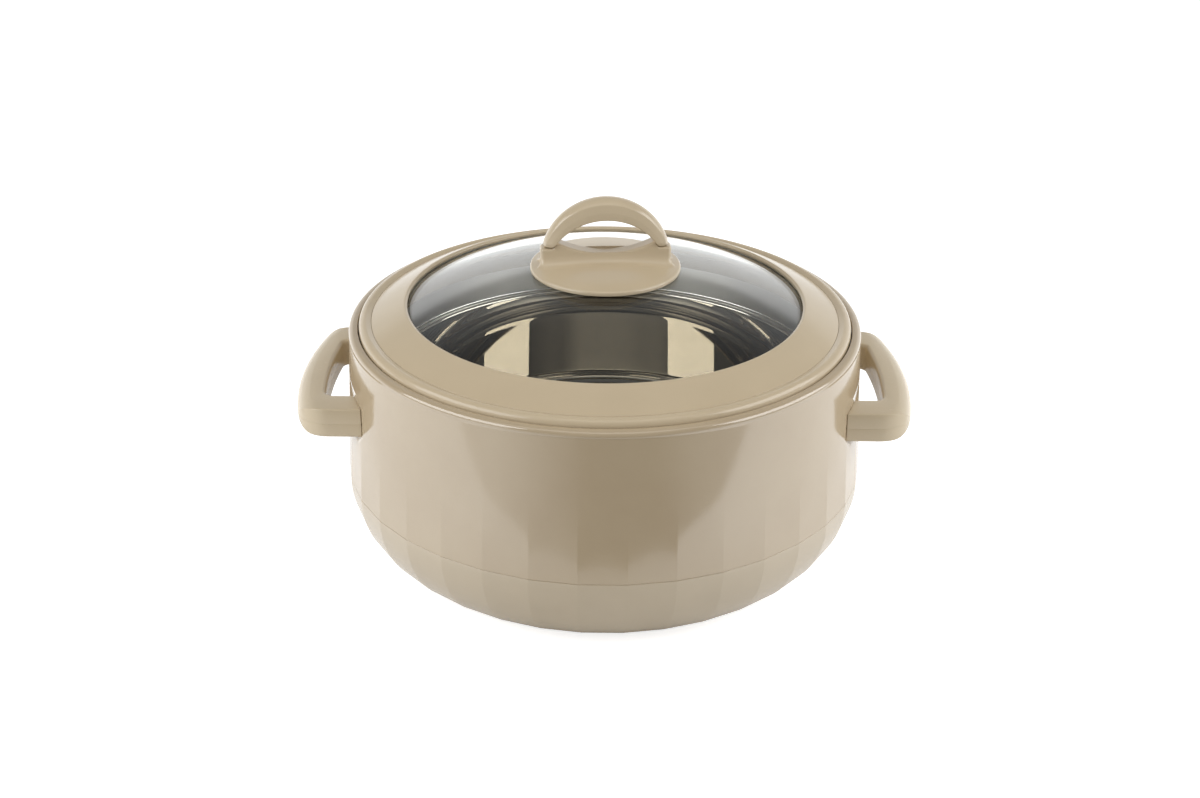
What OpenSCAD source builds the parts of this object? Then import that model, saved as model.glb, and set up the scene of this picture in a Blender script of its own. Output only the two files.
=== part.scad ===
/* [Body] */
// Height of the rim above the table
rim_height = 124; // [116:1:140]
// Outer radius at the seam, the widest place
belly_radius = 135; // [130:0.5:142]
// How much narrower the rim is than the seam
wall_taper = 4; // [1:0.5:8]
// Height of the seam between the shell and the base
seam_height = 46; // [40:1:52]
// Radius of the flat underside
foot_radius = 95; // [85:1:105]
// Wall of the plastic shells
shell_wall = 2.6; // [2:0.1:3.2]
// Rounding of the rim's outer edge
rim_round = 2.5; // [1.5:0.1:3.5]
// How far the rim's lip stands proud of the wall
rim_lip_proud = 0.15; // [0.1:0.05:0.4]
// Width of the rim's top, from its edge to the lid seat
rim_shoulder = 4.5; // [3.8:0.1:6]
// Depth of the lid seat below the rim
seat_depth = 7.5; // [7:0.1:9]
// Thickness of the ledge
ledge_wall = 2.4; // [2:0.1:3.5]

/* [Panels] */
// Number of flat panels around the lower body
panel_count = 36; // [24:2:48]
// How flat the panels get: 0 is round, 1 is flat
panel_flat = 0.96; // [0.5:0.02:0.98]
// Height at which the panels are at their flattest
panel_full_height = 60; // [54:1:70]
// Height at which the panels have faded into the round wall
panel_fade_height = 95; // [85:1:105]

/* [Base] */
// Height of the base's spigot above the seam
spigot_height = 7; // [5:0.5:9]
// Wall of the spigot
spigot_wall = 2.2; // [1.8:0.1:2.8]
// Height of the land below the seam that carries the spigot
spigot_land = 8; // [6:0.5:10]
// Radius of the snap bead around the spigot
snap_bead = 0.6; // [0.4:0.1:0.8]
// Radius of the hole for filling the foam
fill_hole_radius = 8; // [6:0.5:11]
// Width of the plug's flange around the fill hole
plug_flange = 3; // [2:0.5:5]
// Depth of the recess that takes the plug's flange
plug_recess = 1.2; // [0.8:0.1:1.6]

/* [Bowl] */
// Sheet thickness of the steel bowl
bowl_wall = 0.8; // [0.5:0.1:1.2]
// Width of the bowl's flange
flange_width = 9.3; // [8:0.1:9.6]
// Drop of the collar from the flange to the step
collar_depth = 24.3; // [16:0.1:28]
// How much the collar narrows on its way down
collar_taper = 3; // [1:0.5:5]
// Width of the step below the collar
step_width = 4; // [2:0.5:6]
// Height of the bowl's floor above the table
bowl_floor_height = 28; // [20:1:36]
// How much the bowl's wall narrows below the step
bowl_taper = 1.6; // [0.5:0.1:6]
// Inner radius of the corner between wall and floor
bowl_corner = 16; // [10:1:32]
// Thickness of the gasket under the flange
rim_gasket_thickness = 1; // [0.6:0.1:1.6]

/* [Handles] */
// Length of each handle along the body
handle_length = 102.6; // [92:1:114]
// How far the handle stands out from the wall
handle_stand = 25.95; // [22:0.05:31]
// Radius of the curved outer side, seen from above
handle_outer_curve = 193; // [150:1:260]
// Radius of the handle's outer corners, seen from above
handle_corner = 17; // [10:0.5:22]
// Width of the bar at its middle
handle_bar = 15.7; // [13:0.1:17]
// Radius of the curved inner side, seen from above
handle_inner_curve = 276; // [200:1:400]
// Radius of the finger gap's corners
finger_corner = 5; // [3:0.5:8]
// Width of each leg
leg_width = 17.3; // [15:0.1:20]
// Distance from the rim down to the handle's top
handle_drop = 29.5; // [24:0.5:34]
// Height of the upper half
grip_height = 8.3; // [7.5:0.1:10]
// Height of the lower half
cover_height = 7.2; // [5.5:0.1:8]
// Rounding of the handle's upper edges
handle_round = 2.6; // [1.5:0.1:3.5]
// Rounding of the handle's lower edges
cover_round = 1.4; // [0.8:0.1:3]
// Depth of the seats that the legs stand on, behind the wall's outside
leg_seat_depth = 1.45; // [0.8:0.05:2]
// Width of the slope around each seat
leg_seat_margin = 7; // [4:0.5:9]
// Shank radius of the handle screws
handle_screw_radius = 1.9; // [1.5:0.1:2.2]
// Length of the handle screws under the head
handle_screw_length = 24; // [20:1:27]
// Radius of the bosses inside the shell
handle_boss_radius = 5.5; // [5:0.1:6.5]
// Depth of the bosses behind the wall's outside
handle_boss_depth = 6.1; // [5.5:0.1:8]
// Shank radius of the cover screws
cover_screw_radius = 1.4; // [1.2:0.1:1.6]
// Distance of the cover screws from the handle's middle
cover_screw_offset = 22; // [14:1:28]
// Least plastic left over the tips of the screws
tip_skin = 2.4; // [1.6:0.1:3]

/* [Lid] */
// Clearance around the lid in its seat
lid_gap = 0.5; // [0.4:0.1:1]
// Width of the round bead at the lid's edge
lid_bead_width = 6.4; // [5:0.1:8]
// Height of the bead's crown above the rim
lid_bead_rise = 3.4; // [2.5:0.1:4.5]
// Width of the lid's plastic from its edge to the window
lid_ring_width = 25; // [22:0.5:30]
// Height of the ring's foot above the rim
lid_ring_foot = 2.6; // [2:0.1:3.2]
// Rise of the sloping ring from its foot to its lip
lid_ring_rise = 8.3; // [6.5:0.1:10]
// Wall of the lid's plastic rings
lid_wall = 2.2; // [1.8:0.1:2.6]
// Depth of the centring skirt under the lid
lid_skirt = 8; // [5:0.5:10]
// Thickness of the seal under the lid
lid_seal_thickness = 1.6; // [1.2:0.1:2]

/* [Glass] */
// Radius of the sphere that the glass follows
glass_sphere = 255; // [220:5:320]
// Thickness of the glass
glass_thickness = 4; // [3:0.5:5]
// Drop from the ring's lip to the glass at the window's edge
glass_drop = 2.5; // [2.2:0.1:3]
// How far the glass reaches under the lip
glass_tuck = 4; // [3:0.5:4.5]
// Thickness of the gasket around the glass
glass_gasket_thickness = 1.1; // [0.8:0.1:1.3]

/* [Knob] */
// How far the knob is turned from the line of the handles, in degrees
knob_turn = 4; // [-90:1:90]
// Radius of the knob's disc
knob_radius = 38.3; // [36:0.1:46]
// Thickness of the disc at its edge
knob_edge = 2.5; // [2:0.1:3.5]
// Rise of the disc's domed top from its edge to its middle
knob_dome = 2.4; // [1:0.1:3]
// Gap between the disc and the glass, which the soft gasket fills
knob_lift = 0.6; // [0.5:0.1:2.2]
// Half length of the web
web_reach = 33.2; // [32:0.1:35.5]
// Thickness of the web
web_thickness = 9; // [8:0.5:11]
// Radius of the fillet between the web and the disc
web_fillet = 5; // [3:0.5:7]
// Height of the saddle above the top of the glass
saddle_height = 7; // [5.5:0.5:9]
// Radius of the saddle's hollow
saddle_curve = 52; // [46:1:70]
// Height of the arch's feet above the top of the glass
arch_foot = 10; // [9:0.5:11]
// Outer radius of the arch
arch_radius = 33; // [31:0.5:34]
// Height of the arch's outer centre above the top of the glass
arch_centre = 2.8; // [2:0.2:6]
// Radius of the arch's underside
arch_inner_radius = 31; // [29:0.5:31.5]
// Thickness of the arch at its crown
arch_thickness = 10.3; // [9:0.1:13]
// Width of the arch at its crown
arch_width = 15; // [12:0.5:18]
// Width of the arch at its feet
arch_foot_width = 10.6; // [10:0.2:12]
// Radius of the arch's rounded back, across its width
arch_crown = 8.5; // [8:0.5:16]
// Shank radius of the knob's middle screw
knob_screw_radius = 2.4; // [2:0.1:2.6]
// Radius of the boss that passes through the glass
knob_boss_radius = 5.6; // [5:0.1:6.5]
// Thickness of the soft washer under the glass
seal_washer_thickness = 1.5; // [1:0.1:2.5]
// Thickness of the metal washer under the glass
washer_thickness = 1.2; // [0.8:0.1:2]
// Shank radius of the arch's screws
arch_screw_radius = 1.1; // [0.9:0.1:1.4]
// How far the arch's screws reach into its feet
arch_screw_grip = 3.5; // [2.5:0.5:4.5]
// Distance of the arch's screws from the axis
arch_screw_offset = 28.7; // [28:0.1:29]

/* [Fits] */
// Clearance between pieces that are fixed together
part_gap = 0.1; // [0.05:0.05:0.2]
// Clearance between the lid and the pot
run_gap = 0.3; // [0.2:0.05:0.5]
// Clearance around the foam
foam_gap = 0.3; // [0.2:0.05:0.6]
// Gap that shows at the seam
seam_gap = 0.2; // [0.1:0.05:0.4]

/* [Hidden] */
$fn = 144;
// Sides of the large fine circles and of the small beads
fine_sides = 360;
bead_sides = 32;
// Steps of a drawn arc, of the handle's long arcs and of the finger gap's corners
arc_steps = 12;
bar_steps = 16;
finger_steps = 8;
// Rows of a rounded edge and of the panels
edge_rows = 4;
panel_rows = 8;
quarter = 90;
// How far a cut or a joint runs past a face
overcut = 1;
// Radius and height of a screw's head as shares of its shank's radius
head_spread = 2;
head_rise = 1.4;
// Share of the glass's thickness that the knob's boss passes through
boss_share = 0.8;

plastic = [0.73, 0.67, 0.57];
plastic_shade = [0.66, 0.60, 0.50];
steel = [0.75, 0.75, 0.74];
silicone = [0.93, 0.92, 0.89];
foam = [0.95, 0.88, 0.62];
clear_glass = [0.85, 0.92, 0.90, 0.35];

// Heights of the pot
rim_edge = rim_height - rim_round;
seat_floor = rim_height - seat_depth;
ledge_bottom = seat_floor - ledge_wall;
shell_foot = seam_height + seam_gap;
spigot_top = seam_height + spigot_height;
plug_top = shell_wall + plug_recess;
snap_height = seam_height + spigot_height / 2;
flange_bottom = seat_floor + rim_gasket_thickness;
flange_top = flange_bottom + bowl_wall;
step_height = flange_top - collar_depth;

// Radii of the pot
rim_radius = belly_radius - wall_taper;
seat_radius = rim_radius - rim_shoulder;
spigot_radius = wall_radius(spigot_top) - shell_wall - part_gap;
flange_radius = seat_radius - part_gap;
collar_radius = flange_radius - flange_width;
ledge_radius = collar_radius + bowl_wall + part_gap;
step_outer_radius = collar_radius - collar_taper;
step_radius = step_outer_radius - step_width;
bowl_foot_radius = step_radius - bowl_taper;

// Handles
tip_room = 0.5;
handle_half = handle_length / 2;
handle_top = rim_height - handle_drop;
handle_split = handle_top - grip_height;
handle_bottom = handle_split - cover_height;
finger_half = handle_half - leg_width;
leg_middle = handle_half - leg_width / 2;
handle_screw_height = handle_split + grip_height / 2;
handle_wall = wall_radius(handle_screw_height);
handle_reach = handle_wall + handle_stand;
leg_seat_radius = handle_wall - leg_seat_depth;
handle_boss_reach = sqrt(pow(handle_wall, 2) - pow(leg_middle, 2)) - handle_boss_depth;
handle_root = handle_boss_reach;
bar_bow = handle_outer_curve - sqrt(pow(handle_outer_curve, 2) - pow(cover_screw_offset, 2));
handle_head_radius = head_spread * handle_screw_radius;
handle_head_height = head_rise * handle_screw_radius;
cover_head_radius = head_spread * cover_screw_radius;
cover_head_height = head_rise * cover_screw_radius;
cover_head_top = handle_bottom + cover_height / 2;
cover_screw_tip = handle_top - tip_skin - tip_room;
cover_screw_reach = handle_reach - handle_bar / 2 - bar_bow / 2;

// Lid
lid_radius = seat_radius - lid_gap;
bead_inner = lid_radius - lid_bead_width;
bead_top = rim_height + lid_bead_rise;
ring_outer = bead_inner - part_gap;
ring_foot = rim_height + lid_ring_foot;
lip_top = ring_foot + lid_ring_rise;
window_radius = lid_radius - lid_ring_width;
lip_land = 1.5;
lip_radius = window_radius + lip_land;
seal_bottom = flange_top + run_gap;
plate_bottom = seal_bottom + lid_seal_thickness / 2;
plate_top = plate_bottom + lid_wall;
snap_middle = (plate_top + ring_foot) / 2;
seal_margin = 1;
seal_inner = bead_inner - seal_margin;
seal_outer = lid_radius - seal_margin;
skirt_outer = step_outer_radius - seal_margin;

// Glass
glass_edge = window_radius + glass_tuck;
glass_centre = lip_top - glass_drop - sqrt(pow(glass_sphere, 2) - pow(window_radius, 2));
glass_top = glass_centre + glass_sphere;
glass_bottom = glass_top - glass_thickness;
glass_inner_sphere = glass_sphere - glass_thickness;
gasket_outer = glass_edge + 2 * glass_gasket_thickness;
seat_sphere = glass_inner_sphere - glass_gasket_thickness - part_gap;

// Knob
knob_under_sphere = glass_sphere + knob_lift;
knob_edge_bottom = sphere_height(knob_under_sphere, knob_radius);
knob_edge_top = knob_edge_bottom + knob_edge;
saddle_top = glass_top + saddle_height;
arch_foot_height = glass_top + arch_foot;
arch_axis = glass_top + arch_centre;
arch_top = arch_axis + arch_radius;
arch_inner_axis = arch_top - arch_thickness - arch_inner_radius;
knob_boss_bottom = glass_top - boss_share * glass_thickness;
knob_hole_top = saddle_top - tip_skin / 2;
seal_washer_radius = 2 * knob_boss_radius;
seal_washer_top = sphere_height(glass_inner_sphere, seal_washer_radius) - part_gap;
seal_washer_bottom = seal_washer_top - seal_washer_thickness;
washer_bottom = seal_washer_bottom - washer_thickness;
knob_head_radius = head_spread * knob_screw_radius;
knob_head_height = head_rise * knob_screw_radius;
arch_head_radius = head_spread * arch_screw_radius;
arch_head_bottom = sphere_height(knob_under_sphere, arch_screw_offset) + tip_room;
arch_head_top = arch_head_bottom + head_rise * arch_screw_radius;
arch_screw_tip = arch_foot_height + arch_screw_grip;

// Outer radius of the straight wall at a height
function wall_radius(z) = belly_radius
    + (rim_radius - belly_radius) * (z - seam_height) / (rim_edge - seam_height);

// Height of a sphere about the glass's centre, at a distance from the axis
function sphere_height(r, x) = glass_centre + sqrt(r * r - x * x);

// How flat the panels are at a height
function panel_flatness(z) =
    let (t = max(0, min(1, (panel_fade_height - z) / (panel_fade_height - panel_full_height))))
    panel_flat * t * t * (3 - 2 * t);

// Ring around the axis with the panels: each has a point at its middle and one at its corner
function panel_ring(radius, flatness) =
    let (dip = 1 - cos(180 / panel_count))
    [for (i = [0 : 2 * panel_count - 1])
        let (r = i % 2 == 0 ? radius * (1 - flatness * dip) : radius, a = 180 * i / panel_count)
        [r * cos(a), r * sin(a)]];

// How far a line at a distance from the middle reaches inside a circle
function chord(radius, distance) = sqrt(radius * radius - distance * distance);

// Points of an arc from one angle to another
function arc(x, y, r, from, to, steps = arc_steps) =
    [for (i = [0 : steps]) let (a = from + (to - from) * i / steps) [x + r * cos(a), y + r * sin(a)]];

// Quarter-ellipse bowl of the base, drawn in by a wall: 0 is the outside
function base_curve(inset, from = 0) =
    [for (i = [0 : arc_steps]) let (t = from + (quarter - from) * i / arc_steps)
        [foot_radius + (belly_radius - foot_radius - inset) * cos(t),
         seam_height - (seam_height - inset) * sin(t)]];

// Solid through a stack of outlines with equal counts of points, from the lowest up
module stacked(outlines, heights) {
    sides = len(outlines[0]);
    rows = len(outlines);
    points = [for (j = [0 : rows - 1]) for (p = outlines[j]) [p[0], p[1], heights[j]]];
    walls = [for (j = [0 : rows - 2]) for (i = [0 : sides - 1]) let (k = (i + 1) % sides)
        [j * sides + i, (j + 1) * sides + i, (j + 1) * sides + k, j * sides + k]];
    floor_face = [for (i = [0 : sides - 1]) i];
    roof_face = [for (i = [sides - 1 : -1 : 0]) (rows - 1) * sides + i];
    polyhedron(points, concat([floor_face], walls, [roof_face]));
}

// Ring with a rectangular section
module ring(inner, outer, bottom, top) {
    rotate_extrude()
        translate([inner, bottom])
            square([outer - inner, top - bottom]);
}

// Plain screw that points up, its head below the origin
module screw(shank, length, head, head_height) {
    cylinder(r = shank, h = length);
    translate([0, 0, -head_height])
        cylinder(r = head, h = head_height);
}

// Copies at both legs of the right handle
module at_legs() {
    for (side = [-1, 1])
        translate([0, side * leg_middle, 0])
            children();
}

// Turns a shape that points up so that it points along +X
module along_x() {
    rotate([0, 90, 0])
        children();
}

// Right-hand shape and its mirror image on the left
module both_sides() {
    children();
    mirror([1, 0, 0])
        children();
}

// Solid inside of a wall that lies outside the body's by a distance
module wall_core(proud, bottom, top) {
    rotate_extrude()
        polygon([
            [0, bottom], [wall_radius(bottom) + proud, bottom],
            [wall_radius(top) + proud, top], [0, top]
        ]);
}

// Space in front of the seats of the right handle's legs, larger all round by a distance:
// it slopes out from each leg's root to the wall
module leg_space(grow) {
    radius = leg_seat_radius - grow;
    wall = handle_wall - grow;
    half = leg_width / 2 + part_gap + grow;
    slope = leg_seat_margin;
    top = handle_top + part_gap + grow;
    bottom = handle_bottom - part_gap - grow;
    far = handle_reach;
    intersection() {
        for (side = [-1, 1])
            linear_extrude(rim_height)
                polygon([for (p = [
                    [far, leg_middle - half - slope],
                    [chord(wall, leg_middle - half - slope), leg_middle - half - slope],
                    [chord(radius, leg_middle - half), leg_middle - half],
                    [chord(radius, leg_middle + half), leg_middle + half],
                    [chord(wall, leg_middle + half + slope), leg_middle + half + slope],
                    [far, leg_middle + half + slope]
                ]) [p[0], side * p[1]]]);
        rotate_extrude()
            polygon([
                [radius, bottom], [far, bottom], [far, top + slope],
                [wall_radius(top + slope) - grow, top + slope], [radius, top]
            ]);
    }
}

// Thicker wall behind the seats of the right handle's legs
module seat_backs() {
    intersection() {
        wall_core(-shell_wall / 2, seam_height, ledge_bottom);
        leg_space(shell_wall);
    }
}

module outer_shell() {
    heights = concat(
        [for (i = [0 : panel_rows]) shell_foot + (panel_fade_height - shell_foot) * i / panel_rows],
        [rim_edge]);
    lip = rim_lip_proud;
    lip_foot = rim_edge - 2 * lip;
    color(plastic) difference() {
        union() {
            difference() {
                union() {
                    stacked([for (z = heights) panel_ring(wall_radius(z), panel_flatness(z))], heights);
                    rotate_extrude()
                        polygon(concat(
                            [[ledge_radius, ledge_bottom], [seat_radius + overcut, ledge_bottom],
                             [seat_radius + overcut, lip_foot], [rim_radius + lip, lip_foot]],
                            arc(rim_radius + lip - rim_round, rim_edge, rim_round, 0, quarter),
                            [[ledge_radius, rim_height]]));
                }
                wall_core(-shell_wall, seam_height - overcut, ledge_bottom);
                cylinder(r = ledge_radius, h = 2 * rim_height);
                translate([0, 0, seat_floor])
                    cylinder(r = seat_radius, h = 2 * seat_depth);
                rotate_extrude()
                    translate([spigot_radius, snap_height])
                        circle(r = snap_bead + part_gap, $fn = bead_sides);
            }
            both_sides() {
                handle_bosses();
                seat_backs();
            }
        }
        both_sides() {
            leg_space(0);
            translate([handle_boss_reach - tip_skin, 0, handle_screw_height])
                at_legs()
                    along_x()
                        cylinder(r = handle_screw_radius + part_gap, h = handle_screw_length);
        }
    }
}

// Bosses inside the shell, square to the right handle's screws
module handle_bosses() {
    intersection() {
        wall_core(-shell_wall / 2, handle_bottom, handle_top + leg_seat_margin);
        translate([handle_boss_reach, 0, handle_screw_height])
            at_legs()
                along_x()
                    cylinder(r = handle_boss_radius, h = belly_radius - handle_boss_reach);
    }
}

module base_cover() {
    curve = base_curve(0);
    from_floor = [for (i = [len(curve) - 1 : -1 : 0]) curve[i]];
    land = seam_height - spigot_land;
    land_inner = spigot_radius - spigot_wall;
    land_angle = asin(spigot_land / (seam_height - shell_wall));
    color(plastic_shade) difference() {
        union() {
            stacked([for (p = from_floor) panel_ring(p[0], panel_flat)], [for (p = from_floor) p[1]]);
            translate([0, 0, land])
                cylinder(r = spigot_radius, h = spigot_top - land);
            rotate_extrude()
                translate([spigot_radius, snap_height])
                    circle(r = snap_bead, $fn = bead_sides);
        }
        rotate_extrude()
            polygon(concat(
                [[0, 2 * spigot_top], [land_inner, 2 * spigot_top], [land_inner, land]],
                base_curve(shell_wall, land_angle),
                [[0, shell_wall]]));
        translate([0, 0, -overcut])
            cylinder(r = fill_hole_radius, h = shell_wall + 2 * overcut);
        translate([0, 0, -plug_recess])
            cylinder(r = fill_hole_radius + plug_flange, h = 2 * plug_recess);
    }
}

module fill_plug() {
    color(plastic_shade) union() {
        translate([0, 0, part_gap])
            cylinder(r = fill_hole_radius + plug_flange - part_gap, h = plug_recess - 2 * part_gap);
        translate([0, 0, part_gap])
            cylinder(r = fill_hole_radius - part_gap, h = plug_top - part_gap);
    }
}

// Inside of the bowl, swollen by a wall
module bowl_form(grow, top) {
    corner = bowl_corner + grow;
    foot = bowl_foot_radius + grow;
    floor_z = bowl_floor_height - grow;
    rotate_extrude()
        polygon(concat(
            [[0, floor_z]],
            arc(foot - corner, floor_z + corner, corner, -quarter, 0),
            [[step_radius + grow, step_height - grow], [step_outer_radius + grow, step_height - grow],
             [collar_radius + grow, flange_bottom], [collar_radius + grow, top], [0, top]]));
}

module inner_bowl() {
    color(steel) difference() {
        union() {
            bowl_form(bowl_wall, flange_top);
            ring(collar_radius, flange_radius, flange_bottom, flange_top);
        }
        bowl_form(0, flange_top + overcut);
    }
}

module rim_gasket() {
    color(silicone) ring(ledge_radius, flange_radius - part_gap, seat_floor, flange_bottom);
}

module insulation() {
    inset = shell_wall + foam_gap;
    roof = ledge_bottom - foam_gap;
    land_inner = spigot_radius - spigot_wall - foam_gap;
    land = seam_height - spigot_land;
    land_angle = asin((spigot_land + inset) / (seam_height - inset));
    spigot_clear = spigot_top + foam_gap;
    head_room = handle_boss_reach - handle_head_height - foam_gap;
    color(foam) difference() {
        rotate_extrude()
            polygon(concat(
                [[0, roof], [wall_radius(roof) - inset, roof],
                 [wall_radius(spigot_clear) - inset, spigot_clear], [land_inner, spigot_clear],
                 [land_inner, land - inset]],
                base_curve(inset, land_angle),
                [[0, inset]]));
        bowl_form(bowl_wall + foam_gap, rim_height);
        cylinder(r = fill_hole_radius, h = plug_top + foam_gap);
        both_sides() {
            leg_space(inset);
            translate([head_room, 0, handle_screw_height])
                at_legs()
                    along_x()
                        cylinder(r = handle_boss_radius + foam_gap, h = belly_radius - head_room);
        }
    }
}

// Outline of the right handle seen from above, drawn in by a distance
function handle_outline(inset) =
    let (
        axis = handle_reach - handle_outer_curve,
        outer = handle_outer_curve - inset,
        corner = handle_corner - inset,
        corner_y = handle_half - handle_corner,
        corner_x = axis + sqrt(pow(handle_outer_curve - handle_corner, 2) - pow(corner_y, 2)),
        turn = atan2(corner_y, corner_x - axis)
    )
    concat(
        [[handle_root, inset - handle_half]],
        arc(corner_x, -corner_y, corner, -quarter, -turn),
        arc(axis, 0, outer, -turn, turn, bar_steps),
        arc(corner_x, corner_y, corner, turn, quarter),
        [[handle_root, handle_half - inset]]);

// Outline of the right finger gap seen from above, widened by a distance
function finger_outline(grow) =
    let (
        axis = handle_reach - handle_bar - handle_inner_curve,
        outer = handle_inner_curve + grow,
        corner = finger_corner + grow,
        corner_y = finger_half - finger_corner,
        corner_x = axis + sqrt(pow(handle_inner_curve - finger_corner, 2) - pow(corner_y, 2)),
        turn = atan2(corner_y, corner_x - axis)
    )
    concat(
        [[0, -finger_half - grow]],
        arc(corner_x, -corner_y, corner, -quarter, -turn, finger_steps),
        arc(axis, 0, outer, -turn, turn, bar_steps),
        arc(corner_x, corner_y, corner, turn, quarter, finger_steps),
        [[0, finger_half + grow]]);

// Loop of the right handle as a plate of a height: its upper edges are rounded
module handle_loop(height, rounding) {
    turns = [0 : quarter / edge_rows : quarter];
    edge = [for (a = turns) height - rounding * (1 - sin(a))];
    inset = [for (a = turns) rounding * (1 - cos(a))];
    mouth = [for (a = turns) height - rounding * (1 - sin(a)) / 2];
    flare = [for (d = inset) d / 2];
    difference() {
        stacked(
            concat([handle_outline(0)], [for (d = inset) handle_outline(d)]),
            concat([0], edge));
        stacked(
            concat([finger_outline(0)], [for (d = flare) finger_outline(d)],
                   [finger_outline(rounding / 2)]),
            concat([-overcut], mouth, [height + overcut]));
    }
}

// Space that the body takes out of the handle, up to the legs' seats
module handle_back() {
    cylinder(r = leg_seat_radius + part_gap, h = rim_height);
}

module handle_grip() {
    color(plastic) difference() {
        translate([0, 0, handle_split])
            handle_loop(grip_height, handle_round);
        handle_back();
        translate([handle_boss_reach, 0, handle_screw_height])
            at_legs()
                along_x()
                    cylinder(r = handle_screw_radius + part_gap, h = handle_screw_length + tip_room);
        for (side = [-1, 1])
            translate([cover_screw_reach, side * cover_screw_offset, handle_split - overcut])
                cylinder(r = cover_screw_radius + part_gap,
                         h = cover_screw_tip + tip_room - handle_split + overcut);
    }
}

module handle_cover() {
    color(plastic_shade) difference() {
        translate([0, 0, handle_split])
            mirror([0, 0, 1])
                handle_loop(cover_height, cover_round);
        handle_back();
        for (side = [-1, 1])
            translate([cover_screw_reach, side * cover_screw_offset, handle_bottom - overcut]) {
                cylinder(r = cover_screw_radius + 2 * part_gap, h = cover_height + 2 * overcut);
                cylinder(r = cover_head_radius + 2 * part_gap,
                         h = cover_head_top - handle_bottom + overcut);
            }
    }
}

module handle_screws() {
    color(steel)
        translate([handle_boss_reach, 0, handle_screw_height])
            at_legs()
                along_x()
                    screw(handle_screw_radius, handle_screw_length, handle_head_radius, handle_head_height);
}

module cover_screws() {
    color(steel)
        for (side = [-1, 1])
            translate([cover_screw_reach, side * cover_screw_offset, cover_head_top])
                screw(cover_screw_radius, cover_screw_tip - cover_head_top,
                      cover_head_radius, cover_head_height);
}

module left_handle_grip() { mirror([1, 0, 0]) handle_grip(); }
module left_handle_cover() { mirror([1, 0, 0]) handle_cover(); }
module left_handle_screws() { mirror([1, 0, 0]) handle_screws(); }
module left_cover_screws() { mirror([1, 0, 0]) cover_screws(); }
module right_handle_grip() { handle_grip(); }
module right_handle_cover() { handle_cover(); }
module right_handle_screws() { handle_screws(); }
module right_cover_screws() { cover_screws(); }

// Height of the sloping ring's top at a distance from the axis
function ring_height(x) = ring_foot + lid_ring_rise * (ring_outer - x) / (ring_outer - lip_radius);

module lid_ring() {
    drop = lid_wall / cos(atan2(lid_ring_rise, ring_outer - lip_radius));
    clamp_sphere = glass_sphere + glass_gasket_thickness + 2 * part_gap;
    nose_bottom = lip_top - glass_drop + run_gap;
    nose_top = lip_top - lip_land / 2;
    color(plastic) rotate_extrude()
        difference() {
            union() {
                difference() {
                    polygon([
                        [ring_outer, ring_foot - drop], [ring_outer, ring_foot], [lip_radius, lip_top],
                        [window_radius, nose_top], [window_radius, ring_height(window_radius) - drop]
                    ]);
                    translate([0, glass_centre])
                        circle(r = clamp_sphere, $fn = fine_sides);
                }
                translate([window_radius, nose_bottom])
                    square([lip_land / 2, nose_top - nose_bottom]);
                translate([ring_outer - lid_wall, plate_top + part_gap])
                    square([lid_wall, ring_foot - plate_top - part_gap]);
            }
            translate([ring_outer, snap_middle])
                circle(r = snap_bead + part_gap, $fn = bead_sides);
        }
}

module lid_under_ring() {
    crown = lid_bead_width / 2;
    post_inner = gasket_outer + part_gap;
    post_outer = post_inner + lid_wall;
    post_top = sphere_height(glass_sphere, post_outer);
    color(plastic) rotate_extrude()
        difference() {
            union() {
                polygon(concat(
                    [[bead_inner, plate_bottom], [lid_radius, plate_bottom], [lid_radius, rim_height]],
                    arc(lid_radius - crown, bead_top - crown, crown, 0, quarter),
                    [[bead_inner, ring_foot]]));
                translate([post_inner, plate_bottom])
                    square([bead_inner + overcut - post_inner, lid_wall]);
                translate([post_inner, plate_bottom])
                    square([lid_wall, post_top - plate_bottom]);
                translate([skirt_outer - lid_wall, plate_bottom - lid_skirt])
                    square([lid_wall, lid_skirt + lid_wall]);
                intersection() {
                    translate([0, glass_centre])
                        difference() {
                            circle(r = seat_sphere, $fn = fine_sides);
                            circle(r = seat_sphere - lid_wall, $fn = fine_sides);
                        }
                    translate([lip_radius, glass_centre])
                        square([post_outer - lip_radius, 2 * glass_sphere]);
                }
                translate([bead_inner, snap_middle])
                    circle(r = snap_bead, $fn = bead_sides);
            }
            translate([seal_inner, plate_bottom - overcut])
                square([seal_outer - seal_inner, overcut + lid_seal_thickness / 2]);
        }
}

module lid_glass() {
    color(clear_glass) rotate_extrude()
        intersection() {
            translate([0, glass_centre])
                difference() {
                    circle(r = glass_sphere, $fn = fine_sides);
                    circle(r = glass_inner_sphere, $fn = fine_sides);
                }
            translate([knob_boss_radius + 2 * part_gap, glass_centre])
                square([glass_edge - knob_boss_radius - 2 * part_gap, 2 * glass_sphere]);
        }
}

// Channel section around the edge of the glass
module glass_gasket() {
    color(silicone) rotate_extrude()
        difference() {
            intersection() {
                translate([0, glass_centre])
                    difference() {
                        circle(r = glass_sphere + glass_gasket_thickness + part_gap, $fn = fine_sides);
                        circle(r = glass_inner_sphere - glass_gasket_thickness, $fn = fine_sides);
                    }
                translate([lip_radius, glass_centre])
                    square([gasket_outer - lip_radius, 2 * glass_sphere]);
            }
            intersection() {
                translate([0, glass_centre])
                    difference() {
                        circle(r = glass_sphere + part_gap, $fn = fine_sides);
                        circle(r = glass_inner_sphere - part_gap, $fn = fine_sides);
                    }
                translate([0, glass_centre])
                    square([glass_edge + part_gap, 2 * glass_sphere]);
            }
        }
}

module lid_seal() {
    color(silicone) ring(
        seal_inner + part_gap, seal_outer - part_gap,
        seal_bottom, plate_bottom + lid_seal_thickness / 2 - part_gap);
}

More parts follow.
